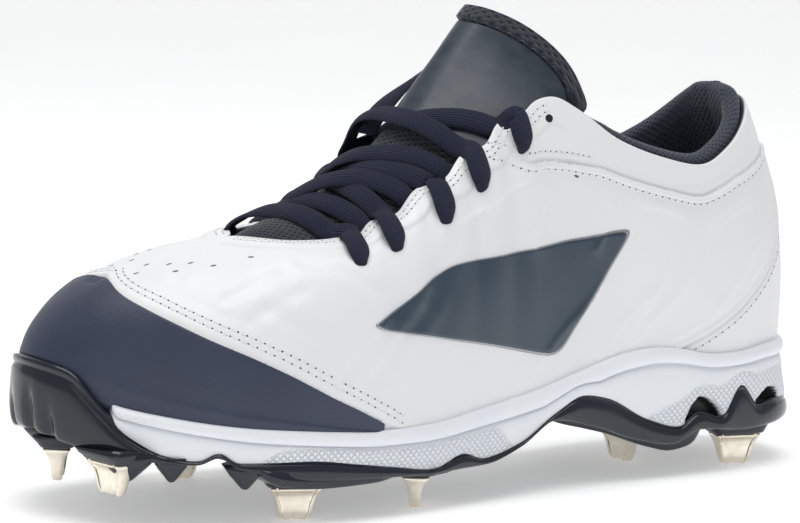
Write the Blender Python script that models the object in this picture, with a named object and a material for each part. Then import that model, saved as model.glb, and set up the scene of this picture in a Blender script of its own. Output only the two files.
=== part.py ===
# Baseball cleat, left shoe: moulded upper, foam midsole and plate outsole with nine steel spikes.
# Metres, +Z up. The toe points to -X and the outer side of the foot lies at -Y.
# The origin is on the floor, under the middle of the sole.
import math

import bmesh
import bpy
import numpy as np
from mathutils import Matrix, Vector

# Driving sizes
LENGTH = 0.291                # sole, heel to toe
BALL_WIDTH = 0.098            # sole, across the ball of the foot
INSTEP_HEIGHT = 0.122         # floor to the top pair of eyelets
STACK_HEIGHT = 0.045          # floor to the top of the midsole under the arch

UPPER_WALL = 0.0022
PANEL_STEP = 0.0007           # how far the collar panel stands proud of the quarter
GUARD_THICKNESS = 0.0018
LINING_PAD = 0.0060
LINING_RISE = 0.0035          # collar roll above the wall
TONGUE_THICKNESS = 0.0045
LABEL_THICKNESS = 0.0010
INSOLE_THICKNESS = 0.0040
PLATE_THICKNESS = 0.0025      # outsole plate
CUP_STEP = 0.0018             # slope of the midsole's cup, and its landing
RIM_WALL = 0.0030             # outsole edge that wraps the midsole
BUMPER_WALL = 0.0050          # the same edge, round the toe
EYELET_DIAMETER = 0.0046
EYELET_SCALLOP = 0.0022       # how far the eyestay bulges at each eyelet
LACE_WIDTH = 0.0076
LACE_THICKNESS = 0.0018
LACE_LIFT = 0.0032            # middle of the lace above what it lies on
SPIKE_HEIGHT = 0.0108         # floor to the foot of a spike's pod
SPIKE_TOP_WIDTH = 0.0165
SPIKE_TIP_WIDTH = 0.0098
SPIKE_BLADE = 0.0024
SPIKE_FLANGE = 0.0016
SPIKE_FLANGE_DEPTH = 0.0090
POD_FLARE = 0.0020            # pod's foot to its root, all round
CLEARANCE = 0.0004            # between pieces that meet
SOFT_CLEARANCE = 0.0014       # between soft pieces inside the upper

# Edge of the sole, closed curve. Shares of LENGTH from the heel and of BALL_WIDTH, outer side negative.
OUTLINE = {
    "along": (0.000, 0.017, 0.055, 0.140, 0.250, 0.352, 0.455, 0.552, 0.634, 0.710,
              0.786, 0.855, 0.917, 0.969, 1.000, 0.986, 0.941, 0.879, 0.800, 0.717,
              0.628, 0.545, 0.455, 0.359, 0.255, 0.138, 0.055, 0.017),
    "across": (0.000, -.190, -.300, -.362, -.366, -.372, -.402, -.450, -.485, -.492,
               -.462, -.390, -.282, -.128, 0.092, 0.265, 0.398, 0.474, 0.512, 0.492,
               0.425, 0.336, 0.280, 0.280, 0.322, 0.346, 0.292, 0.186),
}

# Height lines of the sole. Shares of LENGTH from the heel and of STACK_HEIGHT.
LEDGE = {     # top of the midsole, where the upper lands
    "along": (0.00, 0.09, 0.13, 0.175, 0.22, 0.26, 0.30, 0.36, 0.43, 0.51, 0.60, 0.66,
              0.72, 0.77, 0.82, 0.87, 0.91, 0.94, 0.965, 0.985, 1.00),
    "up": (0.96, 0.945, 0.91, 0.915, 0.975, 1.00, 0.98, 0.885, 0.77, 0.69, 0.625, 0.625,
           0.65, 0.675, 0.70, 0.74, 0.785, 0.825, 0.89, 1.05, 1.10),
}
JOINT = {     # top of the outsole's edge: heel point, arch wing, pods and toe bumper
    "along": (0.00, 0.065, 0.10, 0.131, 0.16, 0.195, 0.223, 0.27, 0.33, 0.365, 0.40, 0.46,
              0.515, 0.546, 0.59, 0.645, 0.69, 0.76, 0.832, 0.852, 0.872, 0.90, 0.935,
              0.96, 0.98, 1.00),
    "up": (0.46, 0.52, 0.49, 0.67, 0.43, 0.49, 0.39, 0.47, 0.66, 0.70, 0.61, 0.40,
           0.33, 0.39, 0.31, 0.36, 0.405, 0.46, 0.46, 0.535, 0.475, 0.505, 0.64,
           0.86, 1.06, 1.11),
}
BASE = {      # bottom of the outsole's edge
    "along": (0.00, 0.12, 0.19, 0.23, 0.28, 0.34, 0.41, 0.46, 0.51, 0.59, 0.65, 0.75,
              0.81, 0.86, 0.90, 0.95, 0.985, 1.00),
    "up": (0.34, 0.31, 0.345, 0.255, 0.31, 0.44, 0.53, 0.37, 0.28, 0.27, 0.285, 0.31,
           0.38, 0.46, 0.47, 0.495, 0.56, 0.61),
}
UNDER = {     # underside of the plate inside its edge
    "along": (0.00, 0.10, 0.21, 0.29, 0.35, 0.41, 0.46, 0.51, 0.55, 0.62, 0.69, 0.81, 0.90, 0.96, 1.00),
    "up": (0.36, 0.33, 0.34, 0.41, 0.47, 0.515, 0.385, 0.295, 0.27, 0.27, 0.31, 0.38, 0.46, 0.54, 0.62),
}
BED = {       # top of the midsole under the insole
    "along": (0.00, 0.20, 0.38, 0.52, 0.65, 0.76, 0.86, 0.94, 1.00),
    "up": (0.84, 0.83, 0.76, 0.63, 0.56, 0.59, 0.64, 0.73, 0.84),
}

# Top line of the upper: collar, eyestay, throat and closed vamp, by turn from heel 0 to toe 1.
TOP = {
    "turn": (0.000, 0.040, 0.085, 0.135, 0.190, 0.245, 0.300, 0.350, 0.395, 0.435, 0.480,
             0.525, 0.570, 0.615, 0.670, 0.715, 0.755, 0.860, 0.930, 1.000),
    "along": (0.076, 0.083, 0.107, 0.146, 0.194, 0.254, 0.316, 0.364, 0.402, 0.440, 0.485,
              0.529, 0.577, 0.625, 0.684, 0.732, 0.765, 0.860, 0.915, 0.915),
    "half": (0.000, 0.115, 0.215, 0.275, 0.306, 0.311, 0.301, 0.281, 0.258, 0.250, 0.255,
             0.255, 0.250, 0.240, 0.204, 0.122, 0.000, 0.000, 0.000, 0.000),
    "up": (1.040, 1.030, 0.975, 0.905, 0.861, 0.889, 0.943, 1.020, 1.061, 1.033, 0.963,
           0.889, 0.820, 0.750, 0.701, 0.697, 0.694, 0.650, 0.595, 0.595),
}
CREST = {     # ridge of the closed vamp, shares of LENGTH and INSTEP_HEIGHT
    "along": (0.64, 0.70, 0.76, 0.80, 0.84, 0.88, 0.92, 0.96, 1.00),
    "up": (0.735, 0.715, 0.698, 0.682, 0.660, 0.630, 0.587, 0.530, 0.460),
}
CENTRE = {    # middle line of the last, shares of LENGTH and BALL_WIDTH
    "along": (0.00, 0.25, 0.45, 0.62, 0.72, 0.80, 0.88, 1.00),
    "across": (0.00, -.005, -.010, -.005, 0.005, 0.030, 0.060, 0.090),
}
FORM = {      # section of the last by turn: share of dome, its fullness, swell and inset of the foot
    "turn": (0.00, 0.08, 0.20, 0.35, 0.50, 0.65, 0.80, 0.90, 1.00),
    "dome": (0.00, 0.05, 0.15, 0.35, 0.70, 1.00, 1.00, 1.00, 1.00),
    "full": (2.2, 2.2, 2.2, 2.2, 2.1, 2.2, 2.5, 2.8, 2.8),
    "swell": (0.060, 0.055, 0.035, 0.020, 0.030, 0.030, 0.020, 0.000, 0.000),
    "inset": (0.050, 0.045, 0.032, 0.032, 0.032, 0.032, 0.035, 0.045, 0.048),
}
PANEL = {     # lower seam of the collar panel, turn and height on the section
    "turn": (0.00, 0.09, 0.17, 0.205, 0.255, 0.31, 0.39, 0.45, 0.50, 1.00),
    "rise": (0.80, 0.80, 0.86, 0.81, 0.81, 0.78, 0.69, 0.75, 0.965, 0.965),
}
GUARD = {     # back edge of the toe guard, turn and height on the section
    "turn": (0.625, 0.652, 0.685, 0.725, 0.763, 0.805, 0.845, 0.878, 0.895, 0.905, 1.00),
    "rise": (0.020, 0.060, 0.105, 0.169, 0.238, 0.325, 0.456, 0.631, 0.800, 1.000, 1.00),
}
EYELETS = {   # from the toe end up, turn and height on the section
    "turn": (0.650, 0.608, 0.550, 0.500, 0.443, 0.405),
    "rise": (0.690, 0.680, 0.680, 0.725, 0.790, 0.885),
}
TONGUE = {    # rows from root to top: where its sides tuck in, and its crown
    "turn": (0.775, 0.735, 0.675, 0.620, 0.570, 0.525, 0.475, 0.430, 0.390),
    "tuck": (0.860, 0.880, 0.880, 0.870, 0.860, 0.860, 0.870, 0.880, 0.900),
    "along": (0.775, 0.744, 0.690, 0.634, 0.580, 0.531, 0.486, 0.455, 0.437),
    "up": (0.655, 0.684, 0.730, 0.795, 0.868, 0.945, 1.032, 1.115, 1.190),
}
TONGUE_TOP = {  # free rows above the eyestay: crown, half width and sides
    "along": (0.430, 0.424, 0.420, 0.419),
    "up": (1.220, 1.250, 1.278, 1.290),
    "half": (0.268, 0.290, 0.268, 0.225),
    "side_along": (0.383, 0.388, 0.402, 0.411),
    "side_up": (1.105, 1.165, 1.225, 1.262),
}
THROAT_END = 0.755            # turn where the throat closes into the vamp
TONGUE_GRID = {"rows": 17, "across": (-1, -0.82, -0.45, 0, 0.45, 0.82, 1)}
LABEL_SPAN = {"rows": (10, 16), "across": (1, 6)}   # the film's share of the tongue's grid
LINING_END = 0.335            # turn where the collar roll stops beside the tongue
LINING_FOOT = 0.52            # height on the section where the padding runs out

# Steel spikes: place as shares of LENGTH and BALL_WIDTH, turn of the blade, height of the tip.
SPIKES = {
    "along": (0.938, 0.945, 0.748, 0.745, 0.588, 0.588, 0.105, 0.105, 0.215),
    "across": (-.165, 0.150, -.350, 0.385, -.340, 0.270, -.225, 0.215, 0.000),
    "angle": (-82, 56, -22, 14, 56, -56, -14, 14, 90),
    "lift": (0.0095, 0.0095, 0.0, 0.0, 0.0, 0.0, 0.0, 0.0, 0.0),
}
# Moulded lugs along the edge of the outsole: place, side, size and reach below the plate.
LUGS = {
    "along": (0.897, 0.858, 0.816, 0.890, 0.850, 0.810, 0.235, 0.235),
    "side": (-1, -1, -1, 1, 1, 1, -1, 1),
    "radius": (0.0055, 0.0055, 0.0060, 0.0055, 0.0055, 0.0060, 0.0065, 0.0065),
    "tip": (0.0150, 0.0140, 0.0125, 0.0150, 0.0140, 0.0125, 0.0105, 0.0105),
}
RIBS = {"along": (0.655, 0.690, 0.725, 0.760, 0.835, 0.868), "reach": (0.0020,) * 6}


def clear_scene():
    for item in list(bpy.data.objects):
        bpy.data.objects.remove(item, do_unlink=True)


def table(x, rows, key, name):
    """Cubic through the rows of a table whose tangents never overshoot them."""
    xs = np.asarray(rows[key], float)
    ys = np.asarray(rows[name], float)
    step = np.diff(ys) / np.diff(xs)
    slope = np.zeros(len(xs))
    same = step[:-1] * step[1:] > 0
    slope[1:-1][same] = 2 * step[:-1][same] * step[1:][same] / (step[:-1][same] + step[1:][same])
    slope[0], slope[-1] = step[0], step[-1]
    x = np.clip(np.asarray(x, float), xs[0], xs[-1])
    i = np.clip(np.searchsorted(xs, x, side="right") - 1, 0, len(xs) - 2)
    h = xs[i + 1] - xs[i]
    w = (x - xs[i]) / h
    return ((2 * w**3 - 3 * w**2 + 1) * ys[i] + (w**3 - 2 * w**2 + w) * h * slope[i]
            + (3 * w**2 - 2 * w**3) * ys[i + 1] + (w**3 - w**2) * h * slope[i + 1])


def ease(x):
    x = np.clip(x, 0.0, 1.0)
    return x * x * (3 - 2 * x)


def closed_curve(points, count):
    """Periodic cubic spline through the points, over chord length."""
    n = len(points)
    following = np.roll(points, -1, axis=0)
    chord = np.linalg.norm(following - points, axis=1)
    system = np.zeros((n, n))
    right = np.zeros((n, 2))
    for i in range(n):
        j, k = (i - 1) % n, (i + 1) % n
        system[i, j] += chord[i]
        system[i, i] += 2 * (chord[j] + chord[i])
        system[i, k] += chord[j]
        right[i] = 3 * (chord[i] * (points[i] - points[j]) / chord[j]
                        + chord[j] * (points[k] - points[i]) / chord[i])
    slope = np.linalg.solve(system, right)
    knots = np.concatenate([[0], np.cumsum(chord)])
    t = np.linspace(0, knots[-1], count, endpoint=False)
    i = np.clip(np.searchsorted(knots, t, side="right") - 1, 0, n - 1)
    k = (i + 1) % n
    h = chord[i][:, None]
    w = ((t - knots[i]) / chord[i])[:, None]
    return ((2 * w**3 - 3 * w**2 + 1) * points[i] + (w**3 - 2 * w**2 + w) * h * slope[i]
            + (3 * w**2 - 2 * w**3) * points[k] + (w**3 - w**2) * h * slope[k])


def half_outlines():
    """The outline cut at heel and toe: each half's share of way, points and outward normals."""
    points = np.column_stack([np.array(OUTLINE["along"]) * LENGTH, np.array(OUTLINE["across"]) * BALL_WIDTH])
    ring = closed_curve(points, 2400)
    ring = np.roll(ring, -int(np.argmin(ring[:, 0])), axis=0)
    toe = int(np.argmax(ring[:, 0]))
    halves = {-1: ring[:toe + 1], 1: np.concatenate([ring[toe:], ring[:1]])[::-1]}
    result = {}
    for side, p in halves.items():
        way = np.concatenate([[0], np.cumsum(np.linalg.norm(np.diff(p, axis=0), axis=1))])
        heading = np.gradient(p, axis=0)
        heading /= np.linalg.norm(heading, axis=1)[:, None]
        normal = np.column_stack([heading[:, 1], -heading[:, 0]]) * -side
        result[side] = (way / way[-1], p, normal)
    return result, ring


HALVES, EDGE = half_outlines()
MIDDLE = (EDGE.min(axis=0) + EDGE.max(axis=0)) / 2


def outline(turn, side):
    """Point and outward normal of the sole's edge; turn 0 at the heel, 1 at the toe."""
    way, p, normal = HALVES[side]
    x, y = np.interp(turn, way, p[:, 0]), np.interp(turn, way, p[:, 1])
    nx, ny = np.interp(turn, way, normal[:, 0]), np.interp(turn, way, normal[:, 1])
    size = np.hypot(nx, ny)
    return x, y, nx / size, ny / size


def turn_at(share):
    """Turn on the outer side where the edge passes a share of the length."""
    way, p, _ = HALVES[-1]
    return np.interp(np.asarray(share) * LENGTH, p[:, 0], way)


def sole_line(along, rows):
    return table(along / LENGTH, rows, "along", "up") * STACK_HEIGHT


def centre_line(along):
    return table(along / LENGTH, CENTRE, "along", "across") * BALL_WIDTH


def landing(along):
    """Height on which the upper stands: midsole ledge, or bumper rim round the toe."""
    def top(x):
        return np.maximum(sole_line(x, LEDGE), sole_line(x, JOINT))
    step = LENGTH * 0.002
    slope = (top(along + step) - top(along - step)) / (2 * step)
    return top(along) + 1.5 * CLEARANCE * np.sqrt(1 + slope**2)


def eyelet_bulge(turn):
    """Scallops of the eyestay, one for each eyelet."""
    bumps = [np.exp(-((turn - at) / 0.013) ** 2) for at in EYELETS["turn"][:5]]
    return EYELET_SCALLOP * np.sum(bumps, axis=0)


def upper_skin(turn, rise, side):
    """Outer skin of the upper in sole coordinates.

    From the foot of the wall at rise 0 to the top line at rise 1 the section mixes
    a quarter of a superellipse with a straight wall, and swells outwards between.
    """
    turn, rise = np.broadcast_arrays(np.asarray(turn, float), np.asarray(rise, float))
    foot_x, foot_y, nx, ny = outline(turn, side)
    inset = table(turn, FORM, "turn", "inset") * BALL_WIDTH
    foot_x, foot_y = foot_x - nx * inset, foot_y - ny * inset
    foot_z = landing(foot_x)
    top_x = table(turn, TOP, "turn", "along") * LENGTH
    half = np.maximum(table(turn, TOP, "turn", "half") * BALL_WIDTH - eyelet_bulge(turn), 0)
    top_y = centre_line(top_x) + side * half
    top_z = table(turn, TOP, "turn", "up") * INSTEP_HEIGHT
    full = table(turn, FORM, "turn", "full")
    dome = table(turn, FORM, "turn", "dome")
    swing = np.clip(rise, 0, 1) * math.pi / 2
    inward = dome * (1 - np.cos(swing) ** (2 / full)) + (1 - dome) * rise
    upward = dome * np.sin(swing) ** (2 / full) + (1 - dome) * rise
    swell = table(turn, FORM, "turn", "swell") * BALL_WIDTH * np.sin(2 * swing)
    x = foot_x + (top_x - foot_x) * inward + nx * swell
    y = foot_y + (top_y - foot_y) * inward + ny * swell
    closed = np.clip((turn - 0.70) / 0.055, 0, 1)
    ridge = table(x / LENGTH, CREST, "along", "up") * INSTEP_HEIGHT
    z = foot_z + (top_z * (1 - closed) + ridge * closed - foot_z) * upward
    return np.stack([x, y, z], -1)


def upper_normal(turn, rise, side):
    """Outward normal of the skin, from its own differences."""
    step = 1e-3
    turn = np.asarray(turn, float)
    rise = np.clip(np.asarray(rise, float), 2 * step, 1 - 5 * step)
    along = (upper_skin(np.minimum(turn + step, 1), rise, side)
             - upper_skin(np.maximum(turn - step, 0), rise, side))
    up = upper_skin(turn, rise + step, side) - upper_skin(turn, rise - step, side)
    normal = np.cross(along, up) * -side
    return normal / np.maximum(np.linalg.norm(normal, axis=-1, keepdims=True), 1e-12)


def upper_offset(turn, rise, side, distance):
    """Skin moved along its normal; at the foot and the top it keeps the edge square."""
    return upper_skin(turn, rise, side) + upper_normal(turn, rise, side) * np.asarray(distance)[..., None]


def to_world(points):
    """Sole coordinates to the part's frame: toe to -X, middle of the sole over the origin."""
    points = np.asarray(points, float)
    return np.stack([MIDDLE[0] - points[..., 0], points[..., 1] - MIDDLE[1], points[..., 2]], -1)


def both_sides(turns, surface):
    """Values round the shoe: outer side from heel to toe, then inner side back to the heel."""
    outer = surface(turns, -1)
    inner = surface(turns[-2:0:-1], 1)
    return np.concatenate([outer, inner])


def material(name, colour, roughness, metallic=0.0):
    result = bpy.data.materials.new(name)
    result.use_nodes = True
    shader = result.node_tree.nodes["Principled BSDF"]
    shader.inputs["Base Color"].default_value = (*colour, 1)
    shader.inputs["Roughness"].default_value = roughness
    shader.inputs["Metallic"].default_value = metallic
    return result


def loft(name, rows, finish, collection, around=True, tube=False, ends=False, skip=None,
         split=0, angle=35):
    """Closed body through rows of points in sole coordinates.

    around joins each row's last point to its first, tube joins the last row to the first,
    ends caps the first and last column or row, and skip(row, column) leaves a face out.
    Of a sheet folded back after split rows, both layers are cut along the same diagonals.
    """
    rows = to_world(np.asarray(rows))
    count, width = rows.shape[:2]
    mesh = bmesh.new()
    verts = [[mesh.verts.new(p) for p in row] for row in rows]
    for r in range(count if tube else count - 1):
        for c in range(width if around else width - 1):
            if skip and skip(r, c):
                continue
            d, s = (c + 1) % width, (r + 1) % count
            ring = [verts[r][c], verts[r][d], verts[s][d], verts[s][c]]
            if not split:
                mesh.faces.new(ring)
                continue
            if r >= split:
                ring = ring[1:] + ring[:1]
            mesh.faces.new(ring[:3])
            mesh.faces.new((ring[0], ring[2], ring[3]))
    if ends == "columns":
        for c in (0, width - 1):
            mesh.faces.new([verts[r][c] for r in range(count)])
    if ends == "rows":
        for r in (0, count - 1):
            mesh.faces.new(verts[r])
    bmesh.ops.remove_doubles(mesh, verts=mesh.verts, dist=2e-6)
    bmesh.ops.dissolve_degenerate(mesh, edges=mesh.edges, dist=2e-6)
    bmesh.ops.recalc_face_normals(mesh, faces=mesh.faces)
    data = bpy.data.meshes.new(name)
    mesh.to_mesh(data)
    mesh.free()
    data.shade_smooth()
    data.set_sharp_from_angle(angle=math.radians(angle))
    result = bpy.data.objects.new(name, data)
    data.materials.append(finish)
    collection.objects.link(result)
    return result


def boolean(target, operation, tool):
    cut = target.modifiers.new(tool.name, "BOOLEAN")
    cut.operation = operation
    cut.solver = "EXACT"
    if isinstance(tool, bpy.types.Collection):
        cut.operand_type = "COLLECTION"
        cut.collection = tool
    else:
        cut.object = tool


def hide_cutters(collection):
    for item in collection.objects:
        item.hide_render = True
        item.display_type = "WIRE"


def toe_turns():
    """Columns shared by the sole, the upper and the toe guard, from the guard's tip to the toe."""
    return np.unique(np.concatenate([GUARD["turn"][:-1], turn_at((0.935, 0.960, 0.980)), [0.985, 1.0]]))


def collar_turns():
    """Columns shared by the upper's collar and its padded lining."""
    return LINING_END * (1 - np.cos(np.linspace(0, 1, 14) * math.pi / 2))[::1] ** 0.75


def sole_turns():
    """Columns of the sole: one at each row of the joint line, and more round heel and toe."""
    toe = toe_turns()
    heel = (0.015, 0.032, 0.055)
    turns = np.unique(np.concatenate([heel, turn_at(JOINT["along"]), np.linspace(0, 1, 13), toe]))
    keep = [turns[0]]
    for turn in turns[turns < GUARD["turn"][-2] - 0.004]:
        if turn - keep[-1] > 0.010:
            keep.append(turn)
    return np.array(keep + list(toe[toe > GUARD["turn"][-2] - 0.004]))


def spine(turn):
    """Point on the middle line that a column of the sole runs to."""
    along = (outline(turn, -1)[0] + outline(turn, 1)[0]) / 2
    along = np.clip(along, 0.11 * LENGTH, 0.87 * LENGTH)
    return along, centre_line(along)


def sole_row(turns, inset, height):
    """A row of the sole at a distance inside its edge, with its height as a function of x, y and side."""
    def points(turn, side):
        x, y, nx, ny = outline(turn, side)
        d = inset(x) if callable(inset) else inset
        x, y = x - nx * d, y - ny * d
        return np.stack([x, y, height(x)], -1)
    return both_sides(turns, points)


def middle_row(turns, height):
    """The row where every column of the sole meets the middle line."""
    def points(turn, side):
        x, y = spine(turn)
        return np.stack([x, y, height(x)], -1)
    return both_sides(turns, points)


def rim_wall(along):
    """Thickness of the outsole's edge: the side rim grows into the toe bumper."""
    return RIM_WALL + (BUMPER_WALL - RIM_WALL) * ease((along / LENGTH - 0.88) / 0.08)


def swallowed(along):
    """1 where the outsole's edge reaches the midsole's ledge and hides its side, else 0."""
    band = sole_line(along, LEDGE) - sole_line(along, JOINT)
    return 1 - ease((band / STACK_HEIGHT - 0.035) / 0.10)


def plate_top(along):
    return sole_line(along, UNDER) + PLATE_THICKNESS


def plate_edge(along):
    """Top of the plate beside the outsole's edge, never higher than that edge."""
    return np.minimum(plate_top(along), sole_line(along, JOINT))


def plate_root(along, reach):
    """Height just under the plate's top that holds all the way across a lug or pod."""
    x = along + np.linspace(-1, 1, 9) * reach
    return float(np.minimum(plate_edge(x), plate_top(x)).min()) - CLEARANCE


def skirt_inset(along):
    """Where the midsole's skirt stands, just inside the outsole's edge."""
    return rim_wall(along) + STACK_HEIGHT * 0.03 + CLEARANCE


def cup_foot(along):
    """Where the flat bed of the midsole begins, inside the landing of the upper."""
    return skirt_inset(along) + 2 * CUP_STEP


def make_outsole(finish, parts, cutters):
    turns = sole_turns()
    joint = lambda x: sole_line(x, JOINT)
    base = lambda x: sole_line(x, BASE)
    under = lambda x: sole_line(x, UNDER)
    belly = lambda x: base(x) * 0.6 + joint(x) * 0.4
    tumble = STACK_HEIGHT * 0.03
    rows = [
        middle_row(turns, plate_top),
        sole_row(turns, lambda x: rim_wall(x) + tumble, plate_edge),
        sole_row(turns, rim_wall, joint),
        sole_row(turns, tumble, joint),
        sole_row(turns, 0, belly),
        sole_row(turns, tumble, base),
        sole_row(turns, lambda x: rim_wall(x) + tumble, base),
        sole_row(turns, lambda x: rim_wall(x) + 2 * tumble, under),
        middle_row(turns, under),
    ]
    outsole = loft("outsole", rows, finish, parts, split=4)
    lugs = bpy.data.collections.new("outsole_lugs")
    cutters.children.link(lugs)
    for i, along in enumerate(SPIKES["along"]):
        add_pod(i, lugs)
    for i in range(len(LUGS["along"])):
        add_lug(i, lugs)
    for i in range(len(RIBS["along"])):
        add_rib(i, lugs)
    hide_cutters(lugs)
    boolean(outsole, "UNION", lugs)
    return outsole


def spike_place(i):
    """Middle of a spike's blade on the floor plan, its turn and the height of its pod's foot."""
    x, y = SPIKES["along"][i] * LENGTH, SPIKES["across"][i] * BALL_WIDTH
    return x, y, math.radians(SPIKES["angle"][i]), SPIKE_HEIGHT + SPIKES["lift"][i]


def place(name, mesh, x, y, z, angle, collection):
    data = bpy.data.meshes.new(name)
    mesh.to_mesh(data)
    mesh.free()
    result = bpy.data.objects.new(name, data)
    result.location = Vector(to_world((x, y, z)))
    result.rotation_euler = (0, 0, angle)
    collection.objects.link(result)
    return result


def add_pod(i, collection):
    """Moulded block that carries a spike, from its foot up into the plate."""
    x, y, angle, foot = spike_place(i)
    root = plate_root(x, SPIKE_TOP_WIDTH / 2)
    mesh = bmesh.new()
    bmesh.ops.create_cube(mesh, size=1)
    for v in mesh.verts:
        low = v.co.z < 0
        flare = 0 if low else POD_FLARE
        v.co.x *= SPIKE_TOP_WIDTH + 2 * (SPIKE_FLANGE + flare)
        v.co.y *= SPIKE_FLANGE_DEPTH + 2 * (SPIKE_FLANGE + flare)
        v.co.z = 0 if low else root - foot
    uprights = [e for e in mesh.edges if abs(e.verts[0].co.z - e.verts[1].co.z) > 1e-6]
    bmesh.ops.bevel(mesh, geom=uprights, offset=0.003, segments=1, affect="EDGES")
    place(f"pod_{i + 1}", mesh, x, y, foot, angle, collection)


def add_lug(i, collection):
    """Four-sided tooth on the edge of the plate, its tip drawn down to its own height."""
    along = LUGS["along"][i]
    side = LUGS["side"][i]
    radius = LUGS["radius"][i]
    x, y, nx, ny = outline(turn_at(along), side)
    x, y = x - nx * radius * 0.85, y - ny * radius * 0.85
    root = plate_root(x, radius)
    mesh = bmesh.new()
    bmesh.ops.create_cone(mesh, cap_ends=True, segments=6, radius1=radius * 0.22, radius2=radius,
                          depth=root - LUGS["tip"][i])
    middle = (root + LUGS["tip"][i]) / 2
    place(f"lug_{i + 1}", mesh, x, y, middle, math.atan2(ny, -nx), collection)


def add_rib(i, collection):
    """Low tread bar across the middle of the forefoot."""
    x = RIBS["along"][i] * LENGTH
    y = float(centre_line(np.array(x)))
    foot = float(sole_line(np.array(x), UNDER)) - RIBS["reach"][i]
    height = RIBS["reach"][i] + PLATE_THICKNESS * 0.5
    mesh = bmesh.new()
    bmesh.ops.create_cube(mesh, size=1)
    bmesh.ops.scale(mesh, vec=(LENGTH * 0.013, BALL_WIDTH * 0.24, height), verts=mesh.verts)
    place(f"rib_{i + 1}", mesh, x, y, foot + height / 2, 0, collection)


def make_midsole(finish, parts):
    """Foam unit: a skirt inside the outsole's edge, a stepped side and a cupped top."""
    turns = sole_turns()
    ledge = lambda x: sole_line(x, LEDGE)
    bed = lambda x: sole_line(x, BED)
    step = lambda x: np.minimum(sole_line(x, JOINT) + CLEARANCE, ledge(x) - STACK_HEIGHT * 0.03)
    skirt = skirt_inset
    bottom = lambda x: plate_top(x) + CLEARANCE
    bottom_edge = lambda x: plate_edge(x) + CLEARANCE

    def side(proud):
        return lambda x: proud + (skirt(x) - proud) * swallowed(x)

    def between(share):
        return lambda x: step(x) + (ledge(x) - step(x)) * share

    heel = lambda x: STACK_HEIGHT * 0.06 * (1 - ease(x / LENGTH / 0.08))
    lip, waist = STACK_HEIGHT * 0.015, STACK_HEIGHT * 0.05
    rows = [
        middle_row(turns, bed),
        sole_row(turns, cup_foot, bed),
        sole_row(turns, lambda x: skirt(x) + CUP_STEP, ledge),
        sole_row(turns, lambda x: side(waist)(x) + heel(x), ledge),
        sole_row(turns, lambda x: side(lip)(x) + heel(x), between(0.90)),
        sole_row(turns, lambda x: side(lip)(x) + heel(x), between(0.68)),
        sole_row(turns, lambda x: side(waist)(x) + heel(x) * 0.5, between(0.52)),
        sole_row(turns, side(waist * 0.5), between(0.20)),
        sole_row(turns, side(waist), step),
        sole_row(turns, skirt, step),
        sole_row(turns, skirt, bottom_edge),
        middle_row(turns, bottom),
    ]
    return loft("midsole", rows, finish, parts, split=6)


def make_insole(finish, parts):
    turns = sole_turns()
    inset = lambda x: cup_foot(x) + CLEARANCE
    low = lambda x: sole_line(x, BED) + 2 * CLEARANCE
    high = lambda x: low(x) + INSOLE_THICKNESS
    edge = INSOLE_THICKNESS * 0.25
    rows = [
        middle_row(turns, high),
        sole_row(turns, lambda x: inset(x) + edge, high),
        sole_row(turns, inset, lambda x: high(x) - edge),
        sole_row(turns, inset, low),
        middle_row(turns, low),
    ]
    return loft("insole", rows, finish, parts, split=2)


def panel_relief(turn, rise):
    """The collar panel and eyestay stand proud of the quarter above their seam."""
    seam = table(turn, PANEL, "turn", "rise")
    shown = 1 - ease((turn - 0.50) / 0.02)
    return PANEL_STEP * shown * (rise > seam)


def make_upper(finish, parts, cutters):
    """Hollow wall, open at the collar, the throat and underneath."""
    turns = np.unique(np.concatenate([collar_turns(), np.linspace(LINING_END, 0.61, 15),
                                      (0.640, 0.735, THROAT_END), toe_turns()]))
    closed = turns >= THROAT_END
    shut = np.concatenate([closed, closed[-2:0:-1]])
    seam = table(turns, PANEL, "turn", "rise")
    shares = np.array([0.0, 0.07, 0.18, 0.30, 0.42, 0.55, 0.68, 0.83])
    outer = []
    for share in shares:
        outer.append(both_sides(turns, lambda t, s: upper_skin(t, share * table(t, PANEL, "turn", "rise"), s)))
    for nudge in (-0.006, 0.006):
        def edge(t, s):
            rise = table(t, PANEL, "turn", "rise") + nudge
            return upper_offset(t, rise, s, panel_relief(t, rise))
        outer.append(both_sides(turns, edge))
    for share in (0.5, 1.0):
        def above(t, s):
            rise = table(t, PANEL, "turn", "rise")
            rise = rise + 0.006 + (1 - rise - 0.006) * share
            return upper_offset(t, rise, s, panel_relief(t, rise))
        outer.append(both_sides(turns, above))
    inner = []
    for share in (1.0, 0.88, 0.68, 0.45, 0.20, 0.0):
        inner.append(both_sides(turns, lambda t, s: upper_offset(t, share, s, -UPPER_WALL + 0 * t)))
    rows = np.array(outer + inner)
    # The foot of the wall stands on the sole, and the halves of the closed vamp share their ridge.
    rows[0, :, 2] = landing(rows[0, :, 0])
    rows[-1, :, 2] = landing(rows[-1, :, 0])
    weld_ridge(rows, turns, closed, (len(outer) - 1, len(outer)))
    rim = len(outer) - 1
    width = rows.shape[1]
    skip = lambda r, c: r == rim and shut[c] and shut[(c + 1) % width]
    upper = loft("upper", rows, finish, parts, tube=True, skip=skip)
    holes = bpy.data.collections.new("eyelet_holes")
    cutters.children.link(holes)
    for side in (-1, 1):
        for i, (turn, rise) in enumerate(zip(EYELETS["turn"], EYELETS["rise"])):
            at = upper_skin(turn, rise, side)
            normal = upper_normal(turn, rise, side)
            add_hole(f"eyelet_{i + 1}_{'outer' if side < 0 else 'inner'}", at, normal, holes)
    hide_cutters(holes)
    boolean(upper, "DIFFERENCE", holes)
    return upper


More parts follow.
